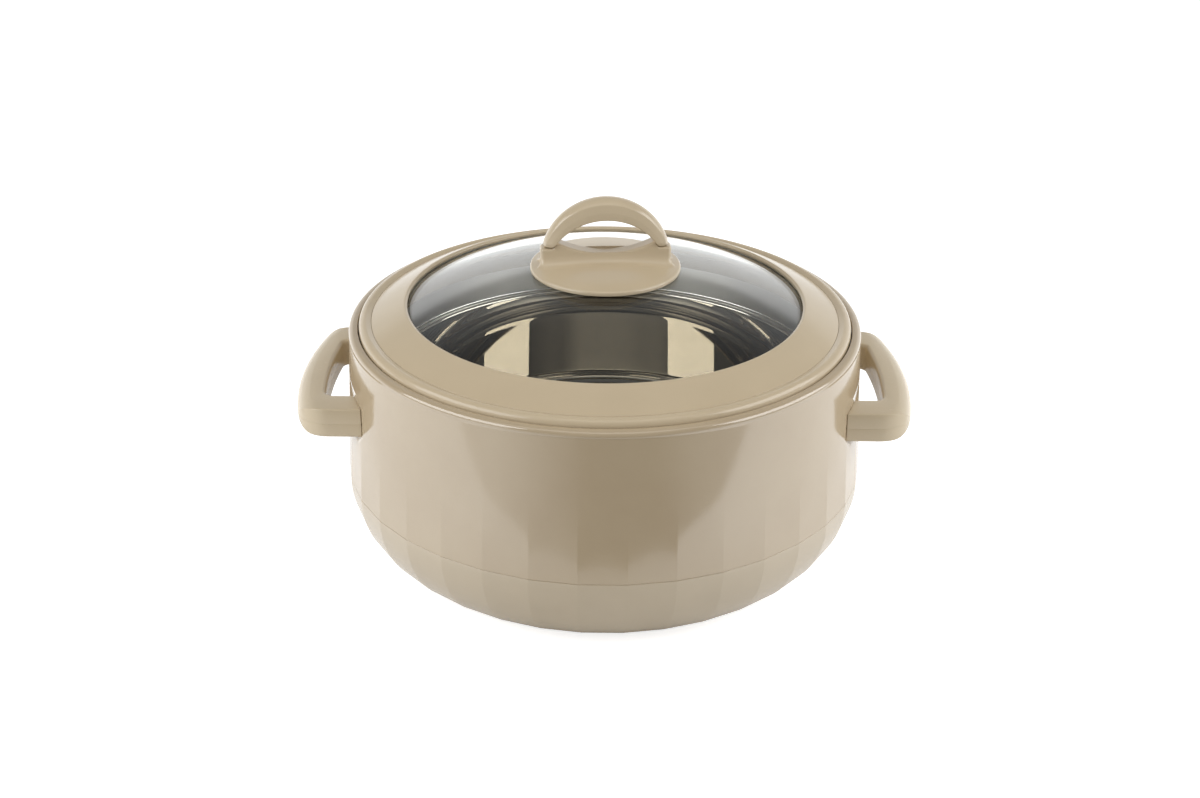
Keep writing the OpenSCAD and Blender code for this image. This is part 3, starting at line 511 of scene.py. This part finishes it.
def web_grid():
    """Knob's web: a rounded rectangle seen from above is carried up from the disc. Its first rows flare out by
    a quarter circle, its last rows draw in by a quarter circle and then to the middle line, and its top follows
    the lower of the saddle's hollow and the arch's underside, but not below the arch's feet."""
    outline = refined(rounded([
        (WEB_REACH, -WEB_HALF, WEB_CORNER), (WEB_REACH, WEB_HALF, WEB_CORNER),
        (-WEB_REACH, WEB_HALF, WEB_CORNER), (-WEB_REACH, -WEB_HALF, WEB_CORNER)], steps=8), WEB_STEP)
    core = np.clip(outline, [-WEB_REACH + WEB_CORNER, -WEB_HALF + WEB_CORNER],
                   [WEB_REACH - WEB_CORNER, WEB_HALF - WEB_CORNER])
    normal = outline - core
    normal = normal / np.linalg.norm(normal, axis=1, keepdims=True)
    quarter = np.radians(np.linspace(0.0, 90.0, 9))
    flare = WEB_FILLET * abs(normal[:, 1])[None, :] + WEB_FLARE
    low = outline[None] + normal[None] * (flare * (1.0 - np.sin(quarter[:, None])))[..., None]
    low_z = dome_height(low[..., 0], low[..., 1]) - WEB_SINK + flare * (1.0 - np.cos(quarter[:, None]))
    draw = np.concatenate([WEB_ROUND * (1.0 - np.cos(quarter)), np.linspace(WEB_ROUND, WEB_HALF, 6)[1:]])
    drop = np.concatenate([WEB_ROUND * (1.0 - np.sin(quarter)), np.zeros(5)])
    high = outline[None] - normal[None] * np.minimum(draw, WEB_CORNER)[:, None, None]
    high[..., 1] *= np.minimum(1.0, (WEB_HALF - draw) / (WEB_HALF - np.minimum(draw, WEB_CORNER)))[:, None]
    x = high[..., 0]
    saddle = SADDLE_TOP + SADDLE_CURVE - np.sqrt(SADDLE_CURVE ** 2 - x * x)
    vault = ARCH_INNER_AXIS - ROOT_GAP + np.sqrt(np.clip(ARCH_INNER_RADIUS ** 2 - x * x, 0.0, None))
    high_z = np.minimum(saddle, np.maximum(vault, ARCH_FOOT - ROOT_GAP)) - drop[:, None]
    rows = np.concatenate([np.dstack([low, low_z]), np.dstack([high, high_z])])
    floor = rows[:1].copy()
    floor[..., 1] = 0.0
    return np.concatenate([floor, rows])


def arch_grid():
    """Knob's arch: a crowned, rounded section is carried from foot to foot between an outer and an inner
    circle. The section narrows with the lens-shaped plan, thins towards the feet, and its ends draw in to
    rounded noses."""
    across = np.linspace(-ARCH_TOP_HALF, ARCH_TOP_HALF, 11)
    sag = ARCH_CROWN - np.sqrt(ARCH_CROWN ** 2 - across ** 2)
    rounds = np.zeros(len(across))
    rounds[[0, -1]] = ARCH_EDGE
    bulge = (sag[0] + ARCH_THICK) / 2.0
    section = rounded(np.concatenate([
        np.column_stack([across, sag, rounds]),
        [(ARCH_BULGE_HALF, bulge, ARCH_SIDE_ROUND), (ARCH_HALF, ARCH_THICK, ARCH_UNDER_ROUND),
         (-ARCH_HALF, ARCH_THICK, ARCH_UNDER_ROUND), (-ARCH_BULGE_HALF, bulge, ARCH_SIDE_ROUND)]]), steps=6)
    section = section / [ARCH_HALF, ARCH_THICK]
    along = np.linspace(0.0, 1.0, 73)
    outer_foot = math.asin((ARCH_FOOT - ARCH_AXIS) / ARCH_RADIUS)
    inner_foot = math.asin((ARCH_FOOT - ARCH_INNER_AXIS) / ARCH_INNER_RADIUS)
    turn = outer_foot + along * (math.pi - 2.0 * outer_foot)
    outer = np.stack([ARCH_RADIUS * np.cos(turn), ARCH_AXIS + ARCH_RADIUS * np.sin(turn)], -1)
    turn = inner_foot + along * (math.pi - 2.0 * inner_foot)
    inner = np.stack(
        [ARCH_INNER_RADIUS * np.cos(turn), ARCH_INNER_AXIS + ARCH_INNER_RADIUS * np.sin(turn)], -1)
    place = outer[:, None] + (inner - outer)[:, None] * section[None, :, 1:]
    cut = ARCH_HALF - ARCH_FOOT_HALF
    plan = (ARCH_RADIUS ** 2 + cut ** 2) / (2.0 * cut)
    half = ARCH_HALF - plan + np.sqrt(plan ** 2 - place[..., 0] ** 2)
    grid = np.stack([place[..., 0], half * section[None, :, 0], place[..., 1]], -1)
    middle = grid.mean(axis=1, keepdims=True)
    height = np.clip((middle[..., 2:] - middle[:1, :, 2:]) / ARCH_NOSE, 0.0, 1.0)
    draw = ARCH_TIP + (1.0 - ARCH_TIP) * np.sqrt(1.0 - (1.0 - height) ** 2)
    grid = middle + (grid - middle) * draw
    ends = np.broadcast_to(middle, grid.shape)
    return np.concatenate([ends[:1], grid, ends[-1:]])


def loop_line(half, corner, reach, curve, steps):
    """Line of a handle's loop seen from above: a corner's arc, the bar's long arc and the other corner's
    arc."""
    axis = reach - curve
    corner_y = half - corner
    corner_x = axis + math.sqrt((curve - corner) ** 2 - corner_y ** 2)
    turn = math.degrees(math.atan2(corner_y, corner_x - axis))
    return np.concatenate([
        arc(corner_x, -corner_y, corner, -90.0, -turn, steps),
        arc(axis, 0.0, curve, -turn, turn, 2 * steps)[1:-1],
        arc(corner_x, corner_y, corner, turn, 90.0, steps)])


def handle_grid(split, end, side, edge, roll):
    """Half of a handle: a section with a crisp outer edge and a small rounding at the finger gap is carried
    along the loop between its outer and inner lines, and on along both legs to the body, where it follows the
    seat. The bar's outer side rolls over: the height there is held under a quarter of an ellipse, by the
    distance from the bar's arc, so that the crisp edge of the legs runs down round the corners."""
    outer = loop_line(HANDLE_HALF, HANDLE_CORNER, HANDLE_REACH, HANDLE_OUTER, LOOP_STEPS)
    inner = loop_line(FINGER_HALF, FINGER_CORNER, HANDLE_REACH - HANDLE_BAR, HANDLE_INNER, LOOP_STEPS)
    high = abs(end - split)
    top = np.linspace(2.0 * edge, SECTION_TOP_END, SECTION_TOP_POINTS)
    section = rounded(
        [(0.0, 0.0, SPLIT_ROUND), (0.0, high, edge)]
        + [(across, high, 0.0) for across in top]
        + [(SECTION_WIDTH, high, FINGER_ROUND), (SECTION_WIDTH, 0.0, SPLIT_ROUND)], steps=8)
    from_outer = section[:, 0] < SECTION_WIDTH / 2.0
    inward = inner - outer
    inward = inward / np.linalg.norm(inward, axis=1, keepdims=True)
    begin = np.where(from_outer[None, :, None], outer[:, None], inner[:, None])
    offset = np.where(from_outer, section[:, 0], section[:, 0] - SECTION_WIDTH)
    plan = begin + inward[:, None] * offset[None, :, None]
    depth = HANDLE_OUTER - np.hypot(plan[..., 0] - (HANDLE_REACH - HANDLE_OUTER), plan[..., 1])
    reach, drop = roll
    fall = drop * (1.0 - np.sqrt(1.0 - np.clip(1.0 - depth / reach, 0.0, 1.0) ** 2))
    height = np.minimum(section[None, :, 1], high - fall)
    bar = np.dstack([plan, split + math.copysign(1.0, end - split) * height])

    def on_seat(points):
        """Points moved along the leg on to the seat."""
        return np.column_stack([np.sqrt((SEAT_DEEP + ROOT_GAP) ** 2 - points[:, 1] ** 2), points[:, 1:]])

    def leg(row):
        """Rows from the body to one end of the bar, the first ones drawn in to close and round the root."""
        root = on_seat(row)
        share = np.linspace(0.0, 1.0, LEG_ROWS)[:-1, None, None]
        rows = root[None] + (row - root)[None] * share
        middle = root.mean(axis=0, keepdims=True)
        face = on_seat(root + (middle - root) * ROOT_INSET)
        rows[0, :, 0] += ROOT_ROUND
        return np.concatenate([np.broadcast_to(on_seat(middle), root.shape)[None], face[None], rows])

    grid = np.concatenate([leg(bar[0]), bar, leg(bar[-1])[::-1]])
    return grid * [side, 1.0, 1.0]


class Value:
    """Output of a shader node. Arithmetic on it adds Math nodes to its tree."""

    def __init__(self, tree, socket):
        self.tree, self.socket = tree, socket

    def _math(self, operation, first, second):
        return self.tree.add("ShaderNodeMath", {"operation": operation}, {0: first, 1: second})

    def __add__(self, other):
        return self._math("ADD", self, other)

    def __radd__(self, other):
        return self._math("ADD", other, self)

    def __sub__(self, other):
        return self._math("SUBTRACT", self, other)

    def __rsub__(self, other):
        return self._math("SUBTRACT", other, self)

    def __mul__(self, other):
        return self._math("MULTIPLY", self, other)

    def __rmul__(self, other):
        return self._math("MULTIPLY", other, self)

    def __pow__(self, other):
        return self._math("POWER", self, other)

    def __rpow__(self, other):
        return self._math("POWER", other, self)


class Tree:
    """Node tree of a finish or of the world, with one method that adds any node."""

    def __init__(self, tree):
        self.tree = tree
        tree.nodes.clear()

    def add(self, kind, settings=None, inputs=None, output=0):
        """Adds a node of a type, applies its settings, then the values or links of its sockets."""
        node = self.tree.nodes.new(kind)
        for key, value in (settings or {}).items():
            setattr(node, key, value)
        for key, value in (inputs or {}).items():
            if isinstance(value, Value):
                self.tree.links.new(value.socket, node.inputs[key])
            else:
                node.inputs[key].default_value = value
        return Value(self, node.outputs[output]) if node.outputs else None

    def place(self):
        """Object coordinates, in metres."""
        return self.add("ShaderNodeTexCoord", output="Object")

    def parts(self, vector):
        """The three parts of a vector."""
        split = self.add("ShaderNodeSeparateXYZ", None, {0: vector})
        return [Value(self, socket) for socket in split.socket.node.outputs]

    def rays(self, name):
        """1 on one kind of ray, 0 on the others."""
        return Value(self, self.add("ShaderNodeLightPath").socket.node.outputs[name])

    def noise(self, vector, scale, detail, rough=0.5):
        """Noise from 0 to 1 at a number of grains a metre."""
        return self.add("ShaderNodeTexNoise", None, {
            "Vector": vector, "Scale": scale, "Detail": detail, "Roughness": rough}, "Fac")

    def ramp(self, factor, low, high):
        """0 below one value of a factor, 1 above another, and a straight line between them."""
        return self.add("ShaderNodeMapRange", {"clamp": True}, {
            "Value": factor, "From Min": low, "From Max": high, "To Min": 0.0, "To Max": 1.0})

    def blend(self, factor, first, second):
        """Colour between two colours."""
        return self.add("ShaderNodeMix", {"data_type": "RGBA"}, {0: factor, 6: first, 7: second}, 2)

    def bump(self, height, strength, distance):
        """Normal of a surface raised by a height."""
        return self.add("ShaderNodeBump", None, {
            "Height": height, "Strength": strength, "Distance": distance})

    def surface(self, shader):
        """Puts a shader on the surface."""
        self.add("ShaderNodeOutputMaterial", None, {"Surface": shader})


def linear(red, green, blue):
    """Linear colour with full alpha of an sRGB colour from 0 to 255."""
    values = np.array([red, green, blue]) / 255.0
    values = np.where(values <= 0.04045, values / 12.92, ((values + 0.055) / 1.055) ** 2.4)
    return (*values.tolist(), 1.0)


def finish_tree(name):
    """New material and its empty tree."""
    material = bpy.data.materials.new(name)
    material.use_nodes = True
    return material, Tree(material.node_tree)


# Finishes: grains a metre of their noises, and the mould's ripple as a strength and a depth in metres
CLOUD_GRAIN = 28.0
SPECK_GRAIN = 2600.0
HANDLING_GRAIN = 24.0
SCRATCH_GRAIN = 240.0
RIPPLE_GRAIN = 420.0
RIPPLE = (0.03, 0.0004)
SPUN_GRAIN = 1500.0
WATER_GRAIN = 38.0
WIPING_GRAIN = 22.0
DUST_GRAIN = 700.0
CELL_GRAIN = 900.0
TURNING_GRAIN = 1800.0


def moulded_plastic(name, colour, shade, roughness=0.17, shine=1.0, index=1.6):
    """Glossy moulded plastic: a faint cloudiness in the colour, gloss that wanders with handling, fine hair
    scratches, and the slight ripple that moulding leaves."""
    material, tree = finish_tree(name)
    place = tree.place()
    clouds = tree.noise(place, CLOUD_GRAIN, 3.0)
    specks = tree.noise(place, SPECK_GRAIN, 1.0)
    colour_share = tree.ramp(clouds * 0.8 + specks * 0.2, 0.32, 0.68)
    handling = tree.ramp(tree.noise(place, HANDLING_GRAIN, 1.0), 0.3, 0.7)
    stretched = tree.add("ShaderNodeMapping", None, {
        "Vector": place, "Rotation": (0.3, 0.5, 0.8), "Scale": (1.0, 14.0, 9.0)})
    scratches = tree.ramp(tree.noise(stretched, SCRATCH_GRAIN, 2.0, 0.7), 0.68, 0.74)
    ripple = tree.noise(place, RIPPLE_GRAIN, 2.0)
    shader = tree.add("ShaderNodeBsdfPrincipled", None, {
        "Base Color": tree.blend(colour_share, shade, colour),
        "Roughness": roughness + handling * 0.03 + scratches * 0.04,
        "IOR": index,
        "Specular IOR Level": shine,
        "Normal": tree.bump(ripple + specks * 0.25 - scratches * 0.1, *RIPPLE)})
    tree.surface(shader)
    return material


def spun_steel(name):
    """Spun steel, polished up to the step and satin above it, where its colour is lighter too: painted light
    that brightens the collar. Fine rings around the axis in the colour and the gloss, and faint water marks."""
    material, tree = finish_tree(name)
    place = tree.place()
    x, y, z = tree.parts(place)
    radius = (x * x + y * y) ** 0.5
    rings_place = tree.add("ShaderNodeCombineXYZ", None, {0: radius, 1: z, 2: 0.0})
    rings = tree.noise(rings_place, SPUN_GRAIN, 3.0, 0.7)
    marks = tree.ramp(tree.noise(place, WATER_GRAIN, 4.0, 0.6), 0.45, 0.7)
    satin_and_painted_light = tree.ramp(z, STEP_HEIGHT * MM, (STEP_HEIGHT + SHEET) * MM)
    polished = tree.blend(rings, linear(200, 194, 184), linear(212, 206, 195))
    shader = tree.add("ShaderNodeBsdfPrincipled", None, {
        # Above the step the colour turns lighter: painted light on the collar, together with the satin
        # roughness.
        "Base Color": tree.blend(satin_and_painted_light, polished, linear(242, 240, 236)),
        "Metallic": 1.0,
        "Roughness": 0.01 + rings * 0.006 + marks * 0.01 + satin_and_painted_light * 0.3})
    tree.surface(shader)
    return material


def clear_glass(name):
    """Clear tempered glass with a trace of green and faint wiping marks."""
    material, tree = finish_tree(name)
    place = tree.place()
    stretched = tree.add("ShaderNodeMapping", None, {
        "Vector": place, "Rotation": (0.0, 0.0, 0.6), "Scale": (1.0, 5.0, 1.0)})
    wiped = tree.ramp(tree.noise(stretched, WIPING_GRAIN, 4.0, 0.6), 0.5, 0.8)
    shader = tree.add("ShaderNodeBsdfPrincipled", None, {
        "Base Color": linear(250, 252, 250),
        "Roughness": 0.003 + wiped * 0.008,
        "IOR": 1.5,
        "Transmission Weight": 1.0})
    tree.surface(shader)
    return material


def soft_silicone(name, colour):
    """Matt silicone with a fine dusty grain."""
    material, tree = finish_tree(name)
    dust = tree.noise(tree.place(), DUST_GRAIN, 3.0)
    shader = tree.add("ShaderNodeBsdfPrincipled", None, {
        "Base Color": tree.blend(dust, colour, linear(236, 233, 226)),
        "Roughness": 0.5 + dust * 0.15,
        "Normal": tree.bump(dust, 0.1, 0.0002)})
    tree.surface(shader)
    return material


def rigid_foam(name):
    """Rigid foam: small round cells in the colour and the relief."""
    material, tree = finish_tree(name)
    cells = tree.add("ShaderNodeTexVoronoi", None, {"Vector": tree.place(), "Scale": CELL_GRAIN}, "Distance")
    shader = tree.add("ShaderNodeBsdfPrincipled", None, {
        "Base Color": tree.blend(cells, linear(236, 218, 158), linear(214, 190, 128)),
        "Roughness": 0.9,
        "Normal": tree.bump(cells, 0.5, 0.0006)})
    tree.surface(shader)
    return material


def plated_steel(name):
    """Plated screw steel with small turning marks."""
    material, tree = finish_tree(name)
    marks = tree.noise(tree.place(), TURNING_GRAIN, 3.0, 0.6)
    shader = tree.add("ShaderNodeBsdfPrincipled", None, {
        "Base Color": tree.blend(marks, linear(168, 166, 162), linear(205, 203, 198)),
        "Metallic": 1.0,
        "Roughness": 0.25 + marks * 0.15,
        "Normal": tree.bump(marks, 0.08, 0.0002)})
    tree.surface(shader)
    return material


SHELL_FINISH = moulded_plastic("shell_finish", linear(185, 167, 138), linear(180, 161, 132), roughness=0.1)
BASE_FINISH = moulded_plastic("base_finish", linear(190, 174, 147), linear(185, 169, 142))
# The handles, the lid and the knob are the shell's beige plastic, given lighter colours than the shell: painted
# light, lit copies of one plastic.
HANDLE_PAINTED_LIGHT_FINISH = moulded_plastic(
    "handle_painted_light_finish", linear(206, 190, 161), linear(201, 185, 156), roughness=0.24, shine=0.6, index=1.5)
LID_PAINTED_LIGHT_FINISH = moulded_plastic(
    "lid_painted_light_finish", linear(200, 183, 154), linear(195, 178, 149), roughness=0.18, shine=0.65, index=1.5)
KNOB_PAINTED_LIGHT_FINISH = moulded_plastic("knob_painted_light_finish", linear(203, 186, 157), linear(198, 181, 152), shine=0.8, index=1.5)
STEEL_FINISH = spun_steel("bowl_finish")
GLASS_FINISH = clear_glass("glass_finish")
SILICONE_FINISH = soft_silicone("silicone_finish", linear(206, 200, 188))
FOAM_FINISH = rigid_foam("foam_finish")
SCREW_FINISH = plated_steel("screw_finish")

piece("shell_form", [(shell_grid(), True)], "pot", "outer_shell", SHELL_FINISH)
piece("base_form", [(base_grid(), True)], "pot", "base_cover", BASE_FINISH)
piece("bowl_form", [(bowl_grid(), False)], "pot", "inner_bowl", STEEL_FINISH)
for side, label in ((-1.0, "left"), (1.0, "right")):
    grip = handle_grid(HANDLE_SPLIT, HANDLE_TOP, side, LEG_ROUND, BAR_ROLL)
    cover = handle_grid(HANDLE_SPLIT, HANDLE_BOTTOM, side, COVER_ROUND, COVER_ROLL)
    for half, grid in (("grip", grip), ("cover", cover)):
        piece(f"{label}_{half}_form", [(grid, False)],
              "pot", f"{label}_handle_{half}", HANDLE_PAINTED_LIGHT_FINISH)
piece("ring_form", [(ring_grid(), True)], "lid", "lid_ring", LID_PAINTED_LIGHT_FINISH)
piece("under_ring_form", [(under_ring_grid(), True)], "lid", "lid_under_ring", LID_PAINTED_LIGHT_FINISH)
piece("glass_form", [(glass_grid(), True)], "lid", "lid_glass", GLASS_FINISH)
piece("knob_form", [(disc_grid(), False), (swivelled(web_grid()), False)],
      "lid", "knob_base", KNOB_PAINTED_LIGHT_FINISH)
piece("arch_form", [(swivelled(arch_grid()), False)], "lid", "knob_arch", KNOB_PAINTED_LIGHT_FINISH)

CAD_FINISHES = {
    "fill_plug": BASE_FINISH, "insulation": FOAM_FINISH, "rim_gasket": SILICONE_FINISH,
    "left_handle_screws": SCREW_FINISH, "right_handle_screws": SCREW_FINISH,
    "left_cover_screws": SCREW_FINISH, "right_cover_screws": SCREW_FINISH,
    "glass_gasket": SILICONE_FINISH, "lid_seal": SILICONE_FINISH, "knob_gasket": SILICONE_FINISH,
    "knob_seal_washer": SILICONE_FINISH, "knob_arch_screws": SCREW_FINISH,
    "knob_screw": SCREW_FINISH, "knob_washer": SCREW_FINISH,
}
for node, finish in CAD_FINISHES.items():
    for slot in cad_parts[node].material_slots:
        slot.material = finish


# Camera: millimetres for its sensor and lens, and its right, top, back and place in metres as columns
SENSOR = 36.0
LENS = 52.31
NEAREST = 0.01
CAMERA_PLACE = (
    (0.99996, -0.00907, 0.00240, 0.0),
    (0.00615, 0.44085, -0.89756, -0.82566),
    (0.00708, 0.89753, 0.44089, 0.48216),
    (0.0, 0.0, 0.0, 1.0))

# Softboxes at both sides, in metres and watts
SOFTBOXES = {"left_box": (-0.92, -0.43, 0.64), "right_box": (1.0, -0.18, 0.64)}
SOFTBOX_AIM = (0.0, 0.0, 0.1)
SOFTBOX_SIZE = (1.1, 0.7)
SOFTBOX_POWER = 7.6

# Floor: metres, and strengths of which 1 is white
WHITE = (1.0, 1.0, 1.0, 1.0)
FLOOR_COLOUR = (0.8, 0.8, 0.8, 1.0)
FLOOR_FRONT = -0.245
FLOOR_BACK = 5.0
FLOOR_SIDE = 4.0
FLOOR_SEEN = 0.74
FLOOR_ASIDE = (0.03, 0.19)
FLOOR_ASIDE_LEVEL = 0.85
FLOOR_BEHIND = (0.0, 0.2)
SHADE_WIDTH = (0.1, 0.18)
SHADE_START = (0.0, 0.1)
SHADE_END = (0.25, 0.5)

# Surround: ranges along the axes of a direction, and strengths of which 1 is white
SURROUND_DIM = 0.1
SURROUND_MATT = 0.42
LOW = (-0.1, 0.1)
LOW_LEFT = (0.1, 0.7)
LOW_RIGHT = (0.35, 0.8)
LOW_RIGHT_LEVEL = 0.6
BACKDROP = (0.05, 0.45)
BACKDROP_EDGE = (0.34, 0.4)
BACKDROP_LEVEL = 0.37
BACKDROP_TOP = (0.5, 0.75)
BACKDROP_TOP_FALL = 0.27
BACKDROP_LEFT = (0.4, 0.66)
BACKDROP_LEFT_FALL = 0.7
BACKDROP_RIGHT = (0.3, 0.6)
BACKDROP_RIGHT_FALL = 0.25
BACKDROP_ENDS = (0.2, 0.36)
OVERHEAD = (0.75, 0.92)
OVERHEAD_BACK = (-0.15, 0.1)
OVERHEAD_LEVEL = 0.9


def camera():
    """Camera at the photograph's viewing angle."""
    data = bpy.data.cameras.new("camera")
    data.sensor_fit = "HORIZONTAL"
    data.sensor_width = SENSOR
    data.lens = LENS
    data.clip_start = NEAREST
    made = added("camera", data)
    made.matrix_world = Matrix(CAMERA_PLACE)
    bpy.context.scene.camera = made


def softbox(name, place):
    """Rectangular lamp that faces the part: its back axis runs from the part to it, its right axis is level."""
    data = bpy.data.lights.new(name, "AREA")
    data.shape = "RECTANGLE"
    data.size, data.size_y = SOFTBOX_SIZE
    data.energy = SOFTBOX_POWER
    back = np.array(place) - np.array(SOFTBOX_AIM)
    back /= np.linalg.norm(back)
    right = np.cross([0.0, 0.0, 1.0], back)
    right /= np.linalg.norm(right)
    up = np.cross(back, right)
    rows = [(*axis, part) for axis, part in zip(np.stack([right, up, back], 1), place)]
    added(name, data).matrix_world = Matrix(rows + [(0.0, 0.0, 0.0, 1.0)])


def floor():
    """Pale floor that ends just in front of the picture. The camera sees it white but for the part's soft
    shadow. Its glow in mirror images is painted light: white at the sides and behind, dim near the middle in
    front, with a painted shadow of the part behind it."""
    material, tree = finish_tree("floor_finish")
    matt = tree.add("ShaderNodeBsdfDiffuse", None, {"Color": FLOOR_COLOUR})
    x, y, _ = tree.parts(tree.place())
    off_axis = (x * x) ** 0.5
    # Painted light for mirror images: the floor glows white away from the middle and behind the part, and dim
    # near the middle in front.
    aside = tree.ramp(off_axis, *FLOOR_ASIDE) * FLOOR_ASIDE_LEVEL
    behind = tree.ramp(y, *FLOOR_BEHIND)
    # Painted shadow of the part on that glow, behind it, seen only in mirror images.
    shade = 1.0 - tree.ramp(off_axis, *SHADE_WIDTH)
    shade = shade * tree.ramp(y, *SHADE_START) * (1.0 - tree.ramp(y, *SHADE_END))
    lit = tree.add("ShaderNodeMath", {"operation": "MAXIMUM"}, {0: aside, 1: behind}) * (1.0 - shade)
    white = tree.rays("Is Camera Ray") * FLOOR_SEEN + tree.rays("Is Glossy Ray") * lit
    glow = tree.add("ShaderNodeEmission", None, {"Color": WHITE, "Strength": white})
    tree.surface(tree.add("ShaderNodeAddShader", None, {0: matt, 1: glow}))
    mesh = bpy.data.meshes.new("floor")
    mesh.from_pydata([
        (-FLOOR_SIDE, FLOOR_FRONT, 0.0), (FLOOR_SIDE, FLOOR_FRONT, 0.0),
        (FLOOR_SIDE, FLOOR_BACK, 0.0), (-FLOOR_SIDE, FLOOR_BACK, 0.0)], [], [(0, 1, 2, 3)])
    mesh.materials.append(material)
    added("floor", mesh)


def surround():
    """Surround that the camera sees white. In mirror images a white backdrop stands behind the part, dimmer
    higher up and at its ends, a light hangs overhead in front, the sides are white low down, and the rest is
    dim. Matt surfaces get an even light from it."""
    world = bpy.data.worlds.new("surround")
    bpy.context.scene.world = world
    world.use_nodes = True
    tree = Tree(world.node_tree)
    x, y, z = tree.parts(tree.add("ShaderNodeTexCoord", output="Generated"))
    left = x * -1.0
    low = 1.0 - tree.ramp(z, *LOW)
    aside = tree.ramp(left, *LOW_LEFT) + tree.ramp(x, *LOW_RIGHT) * LOW_RIGHT_LEVEL
    height = BACKDROP_LEVEL + (1.0 - BACKDROP_LEVEL) * (1.0 - tree.ramp(z, *BACKDROP_EDGE))
    height = height - BACKDROP_TOP_FALL * tree.ramp(z, *BACKDROP_TOP)
    ends = tree.ramp(left, *BACKDROP_LEFT) * BACKDROP_LEFT_FALL
    ends = ends + tree.ramp(x, *BACKDROP_RIGHT) * BACKDROP_RIGHT_FALL
    backdrop = tree.ramp(y, *BACKDROP) * height * (1.0 - ends * tree.ramp(z, *BACKDROP_ENDS))
    overhead = tree.ramp(z, *OVERHEAD) * (1.0 - tree.ramp(y, *OVERHEAD_BACK)) * OVERHEAD_LEVEL
    shine = SURROUND_DIM + backdrop + overhead + low * aside
    matt_light = tree.rays("Is Diffuse Ray")
    seen = tree.rays("Is Camera Ray")
    level = seen + (1.0 - seen) * ((1.0 - matt_light) * shine + matt_light * SURROUND_MATT)
    glow = tree.add("ShaderNodeBackground", None, {"Color": WHITE, "Strength": level})
    tree.add("ShaderNodeOutputWorld", None, {"Surface": glow})


camera()
floor()
surround()
for name, place in SOFTBOXES.items():
    softbox(name, place)
bpy.context.scene.view_settings.view_transform = "Standard"
